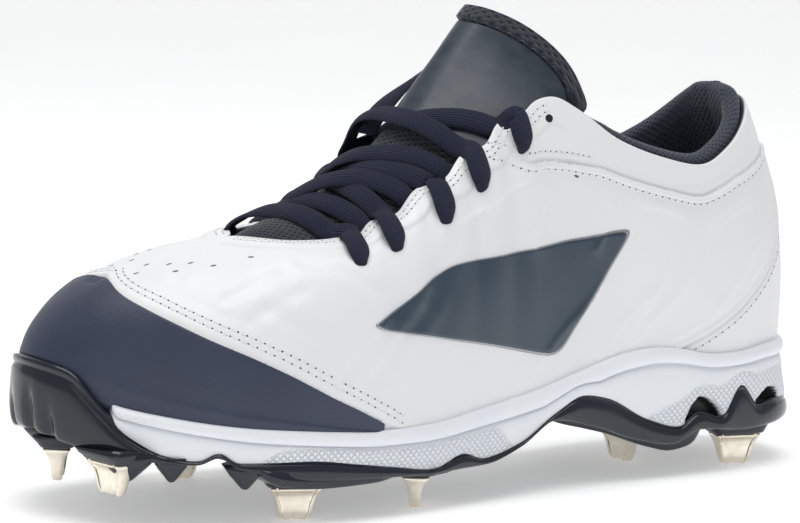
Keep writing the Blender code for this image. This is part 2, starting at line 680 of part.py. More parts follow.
def weld_ridge(rows, turns, closed, which):
    """Outer and inner half of the vamp get one shared point for each closed column."""
    count = len(turns)
    for i in np.nonzero(closed)[0]:
        j = (2 * count - 2 - i) % (2 * count - 2)
        for r in which:
            middle = (rows[r, i] + rows[r, j]) / 2
            rows[r, i] = rows[r, j] = middle


def add_hole(name, at, normal, collection):
    mesh = bmesh.new()
    bmesh.ops.create_cone(mesh, cap_ends=True, segments=8, radius1=EYELET_DIAMETER / 2,
                          radius2=EYELET_DIAMETER / 2, depth=4 * UPPER_WALL)
    data = bpy.data.meshes.new(name)
    mesh.to_mesh(data)
    mesh.free()
    result = bpy.data.objects.new(name, data)
    ahead = Vector((-normal[0], normal[1], normal[2]))
    result.matrix_world = Matrix.Translation(Vector(to_world(at))) @ ahead.to_track_quat("Z", "Y").to_matrix().to_4x4()
    collection.objects.link(result)


def make_guard(finish, parts):
    """Moulded toe guard, a cap cut from the upper's own skin by its back edge."""
    turns = toe_turns()
    closed = turns >= GUARD["turn"][-2]
    shut = np.concatenate([closed, closed[-2::-1]])

    def layer(share, distance):
        def points(turn, side):
            rise = share * table(turn, GUARD, "turn", "rise")
            return upper_offset(turn, rise, side, distance + 0 * turn)
        outer = points(turns, -1)
        inner = points(turns[-2::-1], 1)
        return np.concatenate([outer, inner])

    low = 2.4 * CLEARANCE
    high = low + GUARD_THICKNESS
    shares = (0.0, 0.12, 0.32, 0.55, 0.78, 0.93)
    outer = [layer(s, high) for s in shares] + [layer(1.0, (low + 3 * high) / 4)]
    inner = [layer(s, low) for s in (1.0, 0.93, 0.78, 0.55, 0.32, 0.12, 0.0)]
    rows = np.array(outer + inner)
    rows[0, :, 2] = landing(rows[0, :, 0])
    rows[-1, :, 2] = landing(rows[-1, :, 0])
    rim = len(outer) - 1
    count = len(turns)
    for i in np.nonzero(closed)[0]:
        j = 2 * count - 2 - i
        for r in (rim, rim + 1):
            rows[r, i] = rows[r, j] = (rows[r, i] + rows[r, j]) / 2
    skip = lambda r, c: r == rim and shut[c] and shut[c + 1]
    return loft("toe_guard", rows, finish, parts, around=False, tube=True, ends="columns", skip=skip)


def make_lining(finish, parts):
    """Padded roll inside the collar, a little higher than the wall and open at the throat."""
    turns = collar_turns()
    start = UPPER_WALL + CLEARANCE
    section = []
    for rise in (LINING_FOOT, 0.66, 0.82, 0.94, 1.0):
        section.append(lambda t, s, v=rise: upper_offset(t, v, s, -start + 0 * t))
    for share, lift in ((0.12, 0.75), (0.5, 1.0), (0.88, 0.70)):
        def roll(t, s, share=share, lift=lift):
            points = upper_offset(t, 1.0, s, -(start + LINING_PAD * share) + 0 * t)
            base = upper_skin(t, 1.0, s)
            points[..., 2] = base[..., 2] + LINING_RISE * lift
            return points
        section.append(roll)
    for rise, pad in ((0.98, 1.0), (0.88, 1.08), (0.74, 0.9), (0.60, 0.55), (LINING_FOOT, 0.30)):
        section.append(lambda t, s, v=rise, p=pad: upper_offset(t, v, s, -(start + LINING_PAD * p) + 0 * t))
    rows = []
    for points in section:
        rows.append(np.concatenate([points(turns[::-1], 1), points(turns[1:], -1)]))
    return loft("collar_lining", np.array(rows), finish, parts, around=False, tube=True, ends="columns")


def tongue_rows():
    """Five guides for each row of the tongue: its tucked sides, the eyestay edge and the crown."""
    count = len(TONGUE["turn"])
    guides = np.zeros((count + len(TONGUE_TOP["along"]), 5, 3))
    deep = UPPER_WALL + SOFT_CLEARANCE
    for i in range(count):
        turn, tuck = TONGUE["turn"][i], TONGUE["tuck"][i]
        along = TONGUE["along"][i] * LENGTH
        edge = min(1.0, tuck + 0.10)
        for slot, side in ((0, -1), (4, 1)):
            guides[i, slot] = upper_offset(turn, tuck, side, -deep - SOFT_CLEARANCE)
            guides[i, 1 if side < 0 else 3] = upper_offset(turn, edge, side, -deep - SOFT_CLEARANCE)
        guides[i, 2] = (along, centre_line(np.array(along)), TONGUE["up"][i] * INSTEP_HEIGHT)
    for i in range(len(TONGUE_TOP["along"])):
        row = count + i
        along = TONGUE_TOP["along"][i] * LENGTH
        middle = centre_line(np.array(along))
        crown = np.array((along, middle, TONGUE_TOP["up"][i] * INSTEP_HEIGHT))
        for slot, side in ((0, -1), (4, 1)):
            half = side * TONGUE_TOP["half"][i] * BALL_WIDTH
            guides[row, slot] = (TONGUE_TOP["side_along"][i] * LENGTH, middle + half,
                                 TONGUE_TOP["side_up"][i] * INSTEP_HEIGHT)
            near = crown + (guides[row, slot] - crown) * (0.60, 0.84, 0.60)
            guides[row, 1 if side < 0 else 3] = near
        guides[row, 2] = crown
    return guides


def curve_through(points, where):
    """Cubic through points spaced evenly on 0 to 1, with Catmull-Rom tangents."""
    points = np.asarray(points, float)
    n = len(points)
    slope = np.gradient(points, axis=0)
    x = np.clip(np.asarray(where, float), 0, 1) * (n - 1)
    i = np.minimum(x.astype(int), n - 2)
    w = (x - i)[:, None] if points.ndim == 2 else (x - i)[:, None, None]
    return ((2 * w**3 - 3 * w**2 + 1) * points[i] + (w**3 - 2 * w**2 + w) * slope[i]
            + (3 * w**2 - 2 * w**3) * points[i + 1] + (w**3 - w**2) * slope[i + 1])


def tongue_skin(rows, across):
    """Outer face of the tongue on a grid; rows 0 root to 1 top, across -1 outer to 1 inner side."""
    guides = curve_through(tongue_rows(), np.atleast_1d(rows))
    spots = {"place": (-1.0, -0.82, 0.0, 0.82, 1.0)}
    across = np.atleast_1d(np.asarray(across, float))
    grid = np.zeros((len(guides), len(across), 3))
    for r, row in enumerate(guides):
        for axis in range(3):
            spots["value"] = row[:, axis]
            grid[r, :, axis] = table(across, spots, "place", "value")
    return grid


def grid_normals(grid):
    """Unit normals of a grid of points, pointing up and to the toe."""
    normal = np.cross(np.gradient(grid, axis=0), np.gradient(grid, axis=1))
    normal /= np.maximum(np.linalg.norm(normal, axis=-1, keepdims=True), 1e-12)
    middle = normal[normal.shape[0] // 2, normal.shape[1] // 2]
    return normal if middle[2] > 0 else -normal


def slab(name, grid, low, high, finish, collection, taper=1.0, normals=None):
    """Closed sheet on a grid between two distances along its normals."""
    normal = grid_normals(grid) if normals is None else normals
    thin = np.ones(grid.shape[:2])
    thin[:, 0] = thin[:, -1] = taper
    thin[0] = thin[-1] = np.minimum(thin[0], taper)
    middle = (low + high) / 2
    upper = grid + normal * (middle + (high - middle) * thin)[..., None]
    lower = grid + normal * (middle + (low - middle) * thin)[..., None]
    section = np.concatenate([upper, lower[:, ::-1]], axis=1)
    return loft(name, section.transpose(1, 0, 2), finish, collection, around=False, tube=True,
                ends="columns", split=grid.shape[1])


def make_tongue(finish, parts):
    grid = tongue_skin(np.linspace(0, 1, TONGUE_GRID["rows"]), TONGUE_GRID["across"])
    return slab("tongue", grid, -TONGUE_THICKNESS, 0.0, finish, parts, taper=0.5)


def make_label(finish, parts):
    rows = np.linspace(0, 1, TONGUE_GRID["rows"])
    grid = tongue_skin(rows, TONGUE_GRID["across"])
    sheet = slice(*LABEL_SPAN["rows"]), slice(*LABEL_SPAN["across"])
    normals = grid_normals(grid)
    low = 2 * CLEARANCE
    return slab("tongue_label", grid[sheet], low, low + LABEL_THICKNESS, finish, parts,
                normals=normals[sheet])


def lace_bed(turn):
    """Nine guides across the shoe for a lace at this turn: eyestays, their edges and the tongue."""
    low = table(turn, {"turn": EYELETS["turn"][::-1], "rise": EYELETS["rise"][::-1]}, "turn", "rise")
    rises = (low, (low + 1) / 2, 1.0)
    rows = np.interp(-turn, -np.array(TONGUE["turn"]), np.arange(len(TONGUE["turn"])))
    total = len(TONGUE["turn"]) + len(TONGUE_TOP["along"]) - 1
    points = np.zeros((9, 3))
    normals = np.zeros((9, 3))
    points[3:6] = tongue_skin(rows / total, (-0.5, 0.0, 0.5))[0]
    for k, rise in enumerate(rises):
        for slot, side in ((k, -1), (8 - k, 1)):
            points[slot] = upper_skin(turn, rise, side)
            normals[slot] = upper_normal(turn, min(rise, 0.96), side)
    crown = normals[2] + normals[6] + np.array((0.4, 0, 0.6))
    normals[3:6] = normals[2] + crown, crown, normals[6] + crown
    normals /= np.linalg.norm(normals, axis=1)[:, None]
    return points, normals


def lace_bar(name, start_turn, end_turn, start, end, lift, finish, collection):
    """One run of lace across the throat, from a guide place on one side to one on the other."""
    count = 9
    steps = np.linspace(start, end, count)
    turns = np.linspace(start_turn, end_turn, count)
    path = np.zeros((count, 3))
    face = np.zeros((count, 3))
    for k, (step, turn) in enumerate(zip(steps, turns)):
        points, normals = lace_bed(turn)
        path[k] = curve_through(points, np.array([step]))[0]
        face[k] = curve_through(normals, np.array([step]))[0]
    face /= np.linalg.norm(face, axis=1)[:, None]
    hump = np.sin(np.linspace(0, math.pi, count))
    path += face * (LACE_LIFT + lift * hump)[:, None]
    ahead = np.gradient(path, axis=0)
    ahead /= np.linalg.norm(ahead, axis=1)[:, None]
    wide = np.cross(ahead, face)
    wide /= np.linalg.norm(wide, axis=1)[:, None]
    face = np.cross(wide, ahead)
    rows = []
    for a, b in ((-1, 0), (-0.85, -1), (0.85, -1), (1, 0), (0.85, 1), (-0.85, 1)):
        rows.append(path + wide * a * LACE_WIDTH / 2 + face * b * LACE_THICKNESS / 2)
    return loft(name, np.array(rows), finish, collection, around=False, tube=True, ends="columns")


def make_laces(finish, parts, cutters):
    """Bars and crossings joined into one piece: a straight bar, then four crossed pairs."""
    turns = EYELETS["turn"]
    laces = lace_bar("laces", turns[0], turns[0], 0.02, 0.98, 0.0, finish, parts)
    runs = bpy.data.collections.new("lace_runs")
    cutters.children.link(runs)
    for k in range(4):
        lift = 0.0010
        lace_bar(f"run_outer_{k + 1}", turns[k + 1], turns[k], 0.02, 0.90, lift, finish, runs)
        lace_bar(f"run_inner_{k + 1}", turns[k + 1], turns[k], 0.98, 0.10, 0.0, finish, runs)
    hide_cutters(runs)
    boolean(laces, "UNION", runs)
    return laces


def make_spike(i, finish, parts):
    """Steel spike: a flange under the pod and a tapered blade with turned edges."""
    x, y, angle, foot = spike_place(i)
    tip = SPIKES["lift"][i]
    top = foot - CLEARANCE
    depth = SPIKE_FLANGE_DEPTH / 2
    blade = SPIKE_BLADE / 2
    levels = (
        (top, SPIKE_TOP_WIDTH / 2, depth, depth),
        (top - SPIKE_FLANGE, SPIKE_TOP_WIDTH / 2, depth, depth),
        (top - SPIKE_FLANGE * 1.3, SPIKE_TOP_WIDTH / 2 * 0.94, blade, blade * 2.0),
        (tip, SPIKE_TIP_WIDTH / 2, blade * 0.8, blade * 1.3),
    )
    rows = []
    for z, w, d, e in levels:
        flat = ((-w, -e), (-w * 0.72, -d), (w * 0.72, -d), (w, -e), (w, e), (w * 0.72, d),
                (-w * 0.72, d), (-w, e))
        ring = [(x + a * math.cos(angle) - b * math.sin(angle), y - a * math.sin(angle) - b * math.cos(angle), z)
                for a, b in flat]
        rows.append(ring)
    return loft(f"spike_{i + 1}", np.array(rows), finish, parts, ends="rows", angle=25)


def build():
    clear_scene()
    scene = bpy.context.scene.collection
    parts = bpy.data.collections.new("baseball_cleat")
    cutters = bpy.data.collections.new("cutters")
    scene.children.link(parts)
    scene.children.link(cutters)

    white = material("white synthetic", (0.86, 0.87, 0.90), 0.38)
    foam = material("white foam", (0.83, 0.86, 0.90), 0.55)
    guard = material("navy moulded guard", (0.045, 0.052, 0.085), 0.55)
    plate = material("navy moulded plate", (0.022, 0.028, 0.042), 0.22)
    mesh = material("navy mesh", (0.018, 0.024, 0.045), 0.85)
    label = material("slate film", (0.035, 0.055, 0.080), 0.25)
    lace = material("navy lace", (0.014, 0.018, 0.045), 0.80)
    board = material("dark insole", (0.030, 0.034, 0.045), 0.85)
    steel = material("champagne steel", (0.62, 0.56, 0.46), 0.25, 1.0)

    make_outsole(plate, parts, cutters)
    make_midsole(foam, parts)
    make_upper(white, parts, cutters)
    make_insole(board, parts)
    make_guard(guard, parts)
    make_lining(mesh, parts)
    make_tongue(mesh, parts)
    make_label(label, parts)
    make_laces(lace, parts, cutters)
    for i in range(len(SPIKES["along"])):
        make_spike(i, steel, parts)


build()
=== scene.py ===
import math

import bmesh
import bpy
import numpy as np
from mathutils import Matrix, Vector
from mathutils.bvhtree import BVHTree


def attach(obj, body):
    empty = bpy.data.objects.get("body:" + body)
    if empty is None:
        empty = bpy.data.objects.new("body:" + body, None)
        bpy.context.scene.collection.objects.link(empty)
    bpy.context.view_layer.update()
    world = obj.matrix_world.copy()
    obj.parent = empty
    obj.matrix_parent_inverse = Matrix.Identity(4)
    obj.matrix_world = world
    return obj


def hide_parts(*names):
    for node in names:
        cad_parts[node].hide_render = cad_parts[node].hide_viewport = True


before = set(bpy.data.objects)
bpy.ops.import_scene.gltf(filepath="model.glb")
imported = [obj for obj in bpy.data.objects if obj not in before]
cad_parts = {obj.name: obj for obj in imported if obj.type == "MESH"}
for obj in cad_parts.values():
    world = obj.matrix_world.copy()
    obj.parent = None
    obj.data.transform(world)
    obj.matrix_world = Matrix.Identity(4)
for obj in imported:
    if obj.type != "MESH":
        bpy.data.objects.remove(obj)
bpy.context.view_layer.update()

# Outsole: one stiff glossy nylon plate, moulded with its edge, toe bumper, arch wing, spike pods and lugs.
# Its edge wraps the midsole, to which it is cemented.
LENGTH = 0.291
BALL = 0.098
STACK = 0.045
INSTEP = 0.122
EDGE_ALONG = (0.000, 0.017, 0.055, 0.140, 0.250, 0.352, 0.455, 0.552, 0.634, 0.710, 0.786, 0.855,
              0.917, 0.969, 1.000, 0.986, 0.941, 0.879, 0.800, 0.717, 0.628, 0.545, 0.455, 0.359,
              0.255, 0.138, 0.055, 0.017)
EDGE_ACROSS = (0.000, -.190, -.300, -.362, -.366, -.372, -.402, -.450, -.485, -.492, -.462, -.390,
               -.282, -.128, 0.092, 0.265, 0.398, 0.474, 0.512, 0.492, 0.425, 0.336, 0.280, 0.280,
               0.322, 0.346, 0.292, 0.186)


def line(places, values, unit=1.0, blur=0.0):
    """Line through a table: piecewise cubic that never overshoots it, then averaged over blur."""
    xs, ys = np.array(places, float), np.array(values, float) * unit
    step = np.diff(ys) / np.diff(xs)
    slope = np.zeros(len(xs))
    same = step[:-1] * step[1:] > 0
    slope[1:-1][same] = 2 * step[:-1][same] * step[1:][same] / (step[:-1][same] + step[1:][same])
    slope[0], slope[-1] = step[0], step[-1]
    fine = np.linspace(xs[0], xs[-1], 2001)
    i = np.clip(np.searchsorted(xs, fine, side="right") - 1, 0, len(xs) - 2)
    h = xs[i + 1] - xs[i]
    w = (fine - xs[i]) / h
    v = ((2 * w**3 - 3 * w**2 + 1) * ys[i] + (w**3 - 2 * w**2 + w) * h * slope[i]
         + (3 * w**2 - 2 * w**3) * ys[i + 1] + (w**3 - w**2) * h * slope[i + 1])
    if blur:
        pitch = fine[1] - fine[0]
        reach = int(3 * blur / pitch) + 1
        bell = np.exp(-0.5 * (np.arange(-reach, reach + 1) * pitch / blur) ** 2)
        longer = np.concatenate([2 * v[0] - v[reach:0:-1], v, 2 * v[-1] - v[-2:-reach - 2:-1]])
        v = np.convolve(longer, bell / bell.sum(), "valid")
    return lambda x: np.interp(x, fine, v)


def ease(x):
    """0 below 0, 1 above 1 and a smooth step between."""
    x = np.clip(x, 0.0, 1.0)
    return x * x * (3 - 2 * x)


def way_along(points):
    """Length run from the first point of a row to each of its points."""
    return np.concatenate([[0], np.cumsum(np.linalg.norm(np.diff(points, axis=0), axis=1))])


def ring_through(points, count):
    """Closed cubic spline through the points, over chord length."""
    n = len(points)
    chord = np.linalg.norm(np.roll(points, -1, axis=0) - points, axis=1)
    system, right = np.zeros((n, n)), np.zeros((n, 2))
    for i in range(n):
        j, k = (i - 1) % n, (i + 1) % n
        system[i, j] += chord[i]
        system[i, i] += 2 * (chord[j] + chord[i])
        system[i, k] += chord[j]
        right[i] = 3 * (chord[i] * (points[i] - points[j]) / chord[j]
                        + chord[j] * (points[k] - points[i]) / chord[i])
    slope = np.linalg.solve(system, right)
    knots = np.concatenate([[0], np.cumsum(chord)])
    t = np.linspace(0, knots[-1], count, endpoint=False)
    i = np.clip(np.searchsorted(knots, t, side="right") - 1, 0, n - 1)
    k, h = (i + 1) % n, chord[i][:, None]
    w = ((t - knots[i]) / chord[i])[:, None]
    return ((2 * w**3 - 3 * w**2 + 1) * points[i] + (w**3 - 2 * w**2 + w) * h * slope[i]
            + (3 * w**2 - 2 * w**3) * points[k] + (w**3 - w**2) * h * slope[k])


edge_points = np.column_stack([np.array(EDGE_ALONG) * LENGTH, np.array(EDGE_ACROSS) * BALL])
edge_ring = ring_through(edge_points, 4000)
middle = (edge_ring.min(axis=0) + edge_ring.max(axis=0)) / 2
edge_ring = np.roll(edge_ring, -int(np.argmin(edge_ring[:, 0])), axis=0)
toe_place = int(np.argmax(edge_ring[:, 0]))
halves = {}
for half_side, half in ((-1, edge_ring[:toe_place + 1]),
                        (1, np.concatenate([edge_ring[toe_place:], edge_ring[:1]])[::-1])):
    way = way_along(half)
    heading = np.gradient(half, axis=0)
    heading /= np.linalg.norm(heading, axis=1)[:, None]
    halves[half_side] = way / way[-1], half, np.column_stack([heading[:, 1], -heading[:, 0]]) * -half_side
half_length = way[-1]


def sole_edge(turn, side):
    """Point and outward normal of the sole's edge: turn 0 at the heel, 1 at the toe; side -1 is outer."""
    way, half, normal = halves[side]
    x, y = np.interp(turn, way, half[:, 0]), np.interp(turn, way, half[:, 1])
    nx, ny = np.interp(turn, way, normal[:, 0]), np.interp(turn, way, normal[:, 1])
    size = np.hypot(nx, ny)
    return x, y, nx / size, ny / size


def turn_at(share, side=-1):
    way, half, _ = halves[side]
    return np.interp(np.asarray(share) * LENGTH, half[:, 0], way)


def placed(points):
    """Sole coordinates to the frame: toe to -X, middle of the sole over the origin."""
    return np.stack([middle[0] - points[..., 0], points[..., 1] - middle[1], points[..., 2]], -1)


def around(turns, point):
    """A row of points round the shoe: outer side from heel to toe, inner side back to the heel."""
    return np.concatenate([point(turns, -1), point(turns[-2:0:-1], 1)])


def quads(grid, closed=True, tube=False, keep=None):
    """Points and faces of a grid of rows and columns, turned to enclose a positive volume."""
    rows, columns = grid.shape[:2]
    r = np.arange(rows if tube else rows - 1)[:, None]
    c = np.arange(columns if closed else columns - 1)[None, :]
    r, c = np.broadcast_arrays(r, c)
    if keep is not None:
        chosen = keep(r, c)
        r, c = r[chosen], c[chosen]
    r, c = r.ravel(), c.ravel()
    s, d = (r + 1) % rows, (c + 1) % columns
    faces = np.stack([r * columns + c, r * columns + d, s * columns + d, s * columns + c], 1)
    flat = grid.reshape(-1, 3)
    p, q, u, v = (flat[faces[:, k]] for k in range(4))
    turned = np.sum(np.cross(p, q) * u) + np.sum(np.cross(p, u) * v) < 0
    return flat, faces[:, ::-1] if turned else faces, np.stack([r, c], 1), turned


def weld(mesh, gap, least):
    """Merges points closer than gap and dissolves edges under least, which closes seams and poles."""
    work = bmesh.new()
    work.from_mesh(mesh)
    bmesh.ops.remove_doubles(work, verts=work.verts, dist=gap)
    bmesh.ops.dissolve_degenerate(work, edges=work.edges, dist=least)
    work.to_mesh(mesh)
    work.free()


def surface(name, grid, finish, replaces=(), closed=True, tube=False, caps=False, uv=None,
            fields=None, keep=None, extras=()):
    """One piece from a grid of points in sole coordinates, and from more closed grids beside it.

    closed joins each row's ends, tube joins the last row to the first, caps fills both end columns,
    uv has one more row or column than the grid where it is joined, and fields are values per point.
    """
    rows, columns = grid.shape[:2]
    flat, faces, cells, turned = quads(placed(grid), closed, tube, keep)
    corners = np.zeros((0, 2))
    if uv is not None:
        r, c = cells.T
        corners = np.stack([uv[r, c], uv[r, c + 1], uv[r + 1, c + 1], uv[r + 1, c]], 1)
        corners = (corners[:, ::-1] if turned else corners).reshape(-1, 2)
    for extra in extras:
        more, more_faces, _, _ = quads(placed(extra))
        faces = np.concatenate([faces, more_faces + len(flat)])
        flat = np.concatenate([flat, more])
    faces = faces.tolist()
    if caps:
        first = np.arange(rows) * columns
        last = first + columns - 1
        faces += [first[::1 if not turned else -1].tolist(), last[::-1 if not turned else 1].tolist()]
    mesh = bpy.data.meshes.new(name)
    mesh.from_pydata(flat, [], faces)
    if uv is not None:
        places = np.zeros((len(mesh.loops), 2))
        places[:len(corners)] = corners
        mesh.uv_layers.new(name="cloth").data.foreach_set("uv", places.ravel())
    for field, values in (fields or {}).items():
        spread = np.zeros(len(flat))
        spread[:rows * columns] = np.ravel(values)
        mesh.attributes.new(field, "FLOAT", "POINT").data.foreach_set("value", spread)
    weld(mesh, 1e-6, 1e-6)
    return finished(name, mesh, finish, replaces)


def finished(name, mesh, finish, replaces=()):
    """An object for the mesh, smooth, with its material, riding on the body."""
    mesh.shade_smooth()
    for one in finish if isinstance(finish, list) else [finish]:
        mesh.materials.append(one)
    piece = bpy.data.objects.new(name, mesh)
    bpy.context.scene.collection.objects.link(piece)
    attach(piece, "root")
    if replaces:
        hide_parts(*replaces)
    return piece


class Finish:
    """A Principled material whose nodes are added and linked one by one."""

    def __init__(self, name, colour, roughness, **sockets):
        self.material = bpy.data.materials.new(name)
        self.material.use_nodes = True
        self.nodes = self.material.node_tree.nodes
        self.links = self.material.node_tree.links
        self.shader = self.nodes["Principled BSDF"]
        self.shader.inputs["Base Color"].default_value = (*colour, 1)
        self.shader.inputs["Roughness"].default_value = roughness
        for socket, value in sockets.items():
            self.shader.inputs[socket.replace("_", " ")].default_value = value

    def add(self, kind, inputs=None, **settings):
        node = self.nodes.new("ShaderNode" + kind)
        for key, value in settings.items():
            setattr(node, key, value)
        for socket, value in (inputs or {}).items():
            if isinstance(value, bpy.types.NodeSocket):
                self.links.new(value, node.inputs[socket])
            else:
                node.inputs[socket].default_value = value
        return node

    def calc(self, operation, a, b=0.0):
        return self.add("Math", {0: a, 1: b}, operation=operation).outputs[0]

    def place(self, scale=1.0, stretch=(1, 1, 1), turn=(0, 0, 0), uv=False):
        source = self.add("TexCoord").outputs["UV" if uv else "Object"]
        size = tuple(scale * s for s in stretch)
        return self.add("Mapping", {"Vector": source, "Scale": size, "Rotation": turn}).outputs[0]

    def noise(self, where, scale, detail=3.0, roughness=0.5):
        return self.add("TexNoise", {"Vector": where, "Scale": scale, "Detail": detail,
                                     "Roughness": roughness}).outputs["Fac"]

    def field(self, name):
        return self.add("Attribute", attribute_name=name).outputs["Fac"]

    def spread(self, value, low, high, out_low=0.0, out_high=1.0, smooth=False):
        kind = "SMOOTHSTEP" if smooth else "LINEAR"
        return self.add("MapRange", {"Value": value, "From Min": low, "From Max": high, "To Min": out_low,
                                     "To Max": out_high}, interpolation_type=kind).outputs["Result"]

    def mix(self, share, first, second):
        node = self.add("Mix", data_type="RGBA")
        for index, value in ((0, share), (6, first), (7, second)):
            if isinstance(value, bpy.types.NodeSocket):
                self.links.new(value, node.inputs[index])
            else:
                node.inputs[index].default_value = value if index == 0 else (*value, 1)
        return node.outputs[2]

    def crossed(self, where, across, along):
        """Diamonds: the sine of the sum of two scaled coordinates times the sine of their difference."""
        split = self.add("SeparateXYZ", {"Vector": where})
        a = self.calc("MULTIPLY", split.outputs[0], across)
        b = self.calc("MULTIPLY", split.outputs[1], along)
        first = self.calc("SINE", self.calc("ADD", a, b))
        return self.calc("MULTIPLY", first, self.calc("SINE", self.calc("SUBTRACT", a, b)))

    def bump(self, height, distance, strength=1.0, after=None):
        inputs = {"Height": height, "Distance": distance, "Strength": strength}
        if after is not None:
            inputs["Normal"] = after
        return self.add("Bump", inputs).outputs["Normal"]

    def link(self, value, socket):
        self.links.new(value, self.shader.inputs[socket])

    def tint(self, cloud, first, second):
        self.link(self.mix(self.spread(cloud, 0.3, 0.7), first, second), "Base Color")

    def gloss(self, cloud, least, most):
        self.link(self.spread(cloud, 0.3, 0.7, least, most), "Roughness")


joint = line((0.00, 0.065, 0.10, 0.131, 0.16, 0.195, 0.223, 0.27, 0.33, 0.365, 0.40, 0.46, 0.515, 0.546,
              0.59, 0.645, 0.69, 0.76, 0.832, 0.852, 0.872, 0.90, 0.935, 0.96, 0.98, 1.00),
             (0.46, 0.52, 0.49, 0.67, 0.43, 0.49, 0.39, 0.47, 0.66, 0.70, 0.61, 0.40, 0.33, 0.39, 0.31,
              0.36, 0.405, 0.46, 0.46, 0.535, 0.475, 0.505, 0.64, 0.86, 1.06, 1.11), STACK, 0.003)
base = line((0.00, 0.12, 0.19, 0.23, 0.28, 0.34, 0.41, 0.46, 0.51, 0.59, 0.65, 0.75, 0.80, 0.832, 0.852,
             0.872, 0.90, 0.95, 0.985, 1.00),
            (0.34, 0.31, 0.345, 0.255, 0.31, 0.44, 0.53, 0.37, 0.28, 0.27, 0.285, 0.31, 0.365, 0.41, 0.497,
             0.445, 0.45, 0.49, 0.56, 0.61), STACK, 0.003)
under = line((0.00, 0.10, 0.21, 0.29, 0.35, 0.41, 0.46, 0.51, 0.55, 0.62, 0.69, 0.80, 0.832, 0.852,
              0.872, 0.90, 0.96, 1.00),
             (0.36, 0.33, 0.34, 0.41, 0.47, 0.515, 0.385, 0.295, 0.27, 0.27, 0.31, 0.375, 0.42, 0.485,
              0.455, 0.46, 0.54, 0.62), STACK, 0.004)
centre = line((0.00, 0.25, 0.45, 0.62, 0.72, 0.80, 0.88, 1.00),
              (0.00, -.005, -.010, -.005, 0.005, 0.030, 0.060, 0.090), BALL, 0.02)
plate_thickness = 0.0025
foam_seat = 0.0018
sole_turns = np.linspace(0, 1, 341)


def rim(share):
    """Thickness of the plate's edge: 3 mm, growing to 5 mm in the toe bumper."""
    return 0.003 + 0.002 * ease((share - 0.88) / 0.08)


def sole_row(turns, inset, height):
    """Points at a distance inside the sole's edge; both are functions of the share of the length."""
    def point(turn, side):
        x, y, nx, ny = sole_edge(turn, side)
        inward, z = inset(x / LENGTH), height(x / LENGTH)
        return np.stack([x - nx * inward, y - ny * inward, z + 0 * x], -1)
    return around(turns, point)


def spine_row(turns, height):
    """Points on the middle line, below or above those of the edge."""
    def point(turn, side):
        share = (sole_edge(turn, -1)[0] + sole_edge(turn, 1)[0]) / 2 / LENGTH
        share = np.clip(share, 0.11, 0.87)
        return np.stack([share * LENGTH, centre(share), height(share)], -1)
    return around(turns, point)


def turned_about(x, y, angle, a, b, z):
    """Points at a along and b across from a place, turned by angle."""
    return np.stack([x + a * math.cos(angle) - b * math.sin(angle),
                     y - a * math.sin(angle) - b * math.cos(angle), z + 0 * a], -1)


def block(x, y, angle, rings):
    """Closed block turned by angle: each ring gives its height, half length, half width and squareness."""
    u = np.linspace(0, 2 * math.pi, 48, endpoint=False)
    rows = []
    for z, length, width, square in rings:
        a = length * np.sign(np.cos(u)) * np.abs(np.cos(u)) ** (2 / square)
        b = width * np.sign(np.sin(u)) * np.abs(np.sin(u)) ** (2 / square)
        rows.append(turned_about(x, y, angle, a, b, z))
    return np.array(rows)


spike_along = (0.938, 0.945, 0.748, 0.745, 0.588, 0.588, 0.105, 0.105, 0.215)
spike_across = (-.165, 0.150, -.350, 0.385, -.340, 0.270, -.225, 0.215, 0.000)
spike_angle = (-82, 56, -22, 14, 56, -56, -14, 14, 90)
spike_lift = (0.0095, 0.0095, 0.0, 0.0, 0.0, 0.0, 0.0, 0.0, 0.0)
pod_foot = 0.0108
blade_top, blade_depth = 0.0165, 0.0090

# Pods: a rounded box over each spike's head, that widens into the plate.
moulded = []
pod_wall = 0.0016
for k in range(len(spike_along)):
    x, y, foot = spike_along[k] * LENGTH, spike_across[k] * BALL, pod_foot + spike_lift[k]
    root = under(spike_along[k]) + plate_thickness * 0.6
    reach, wide = blade_top / 2 + pod_wall, blade_depth / 2 + pod_wall
    moulded.append(block(x, y, math.radians(spike_angle[k]),
                         ((foot, 0, 0, 4), (foot, reach - 0.0012, wide - 0.0012, 5),
                          (foot + 0.0003, reach - 0.0004, wide - 0.0004, 5), (foot + 0.0010, reach, wide, 5),
                          (root - 0.002, reach + 0.0012, wide + 0.0012, 4.5),
                          (root, reach + 0.0026, wide + 0.0026, 4), (root, 0, 0, 4))))

# Lugs: blunt pyramids along the edge, each with its place, its side, its radius and its tip's height.
for share, side, radius, tip in ((0.937, -1, 0.0108, 0.0140), (0.897, -1, 0.0068, 0.0141),
                                 (0.823, -1, 0.0074, 0.0117), (0.930, 1, 0.0080, 0.0162),
                                 (0.885, 1, 0.0066, 0.0141), (0.812, 1, 0.0070, 0.0120)):
    x, y, nx, ny = sole_edge(turn_at(share, side), side)
    inset = radius * (0.40 if share > 0.92 else 0.70)
    x, y = x - nx * inset, y - ny * inset
    root = min(under(share), base(share)) + plate_thickness * 0.8
    drop = root - tip
    moulded.append(block(x, y, math.atan2(ny, -nx) + math.pi / 2,
                         ((tip, 0, 0, 2.4), (tip, radius * 0.09, radius * 0.10, 2.4),
                          (tip + drop * 0.04, radius * 0.17, radius * 0.17, 2.4),
                          (tip + drop * 0.12, radius * 0.25, radius * 0.22, 2.3),
                          (tip + drop * 0.55, radius * 0.66, radius * 0.48, 2.2),
                          (root, radius, radius * 0.72, 2.2), (root, 0, 0, 2.2))))

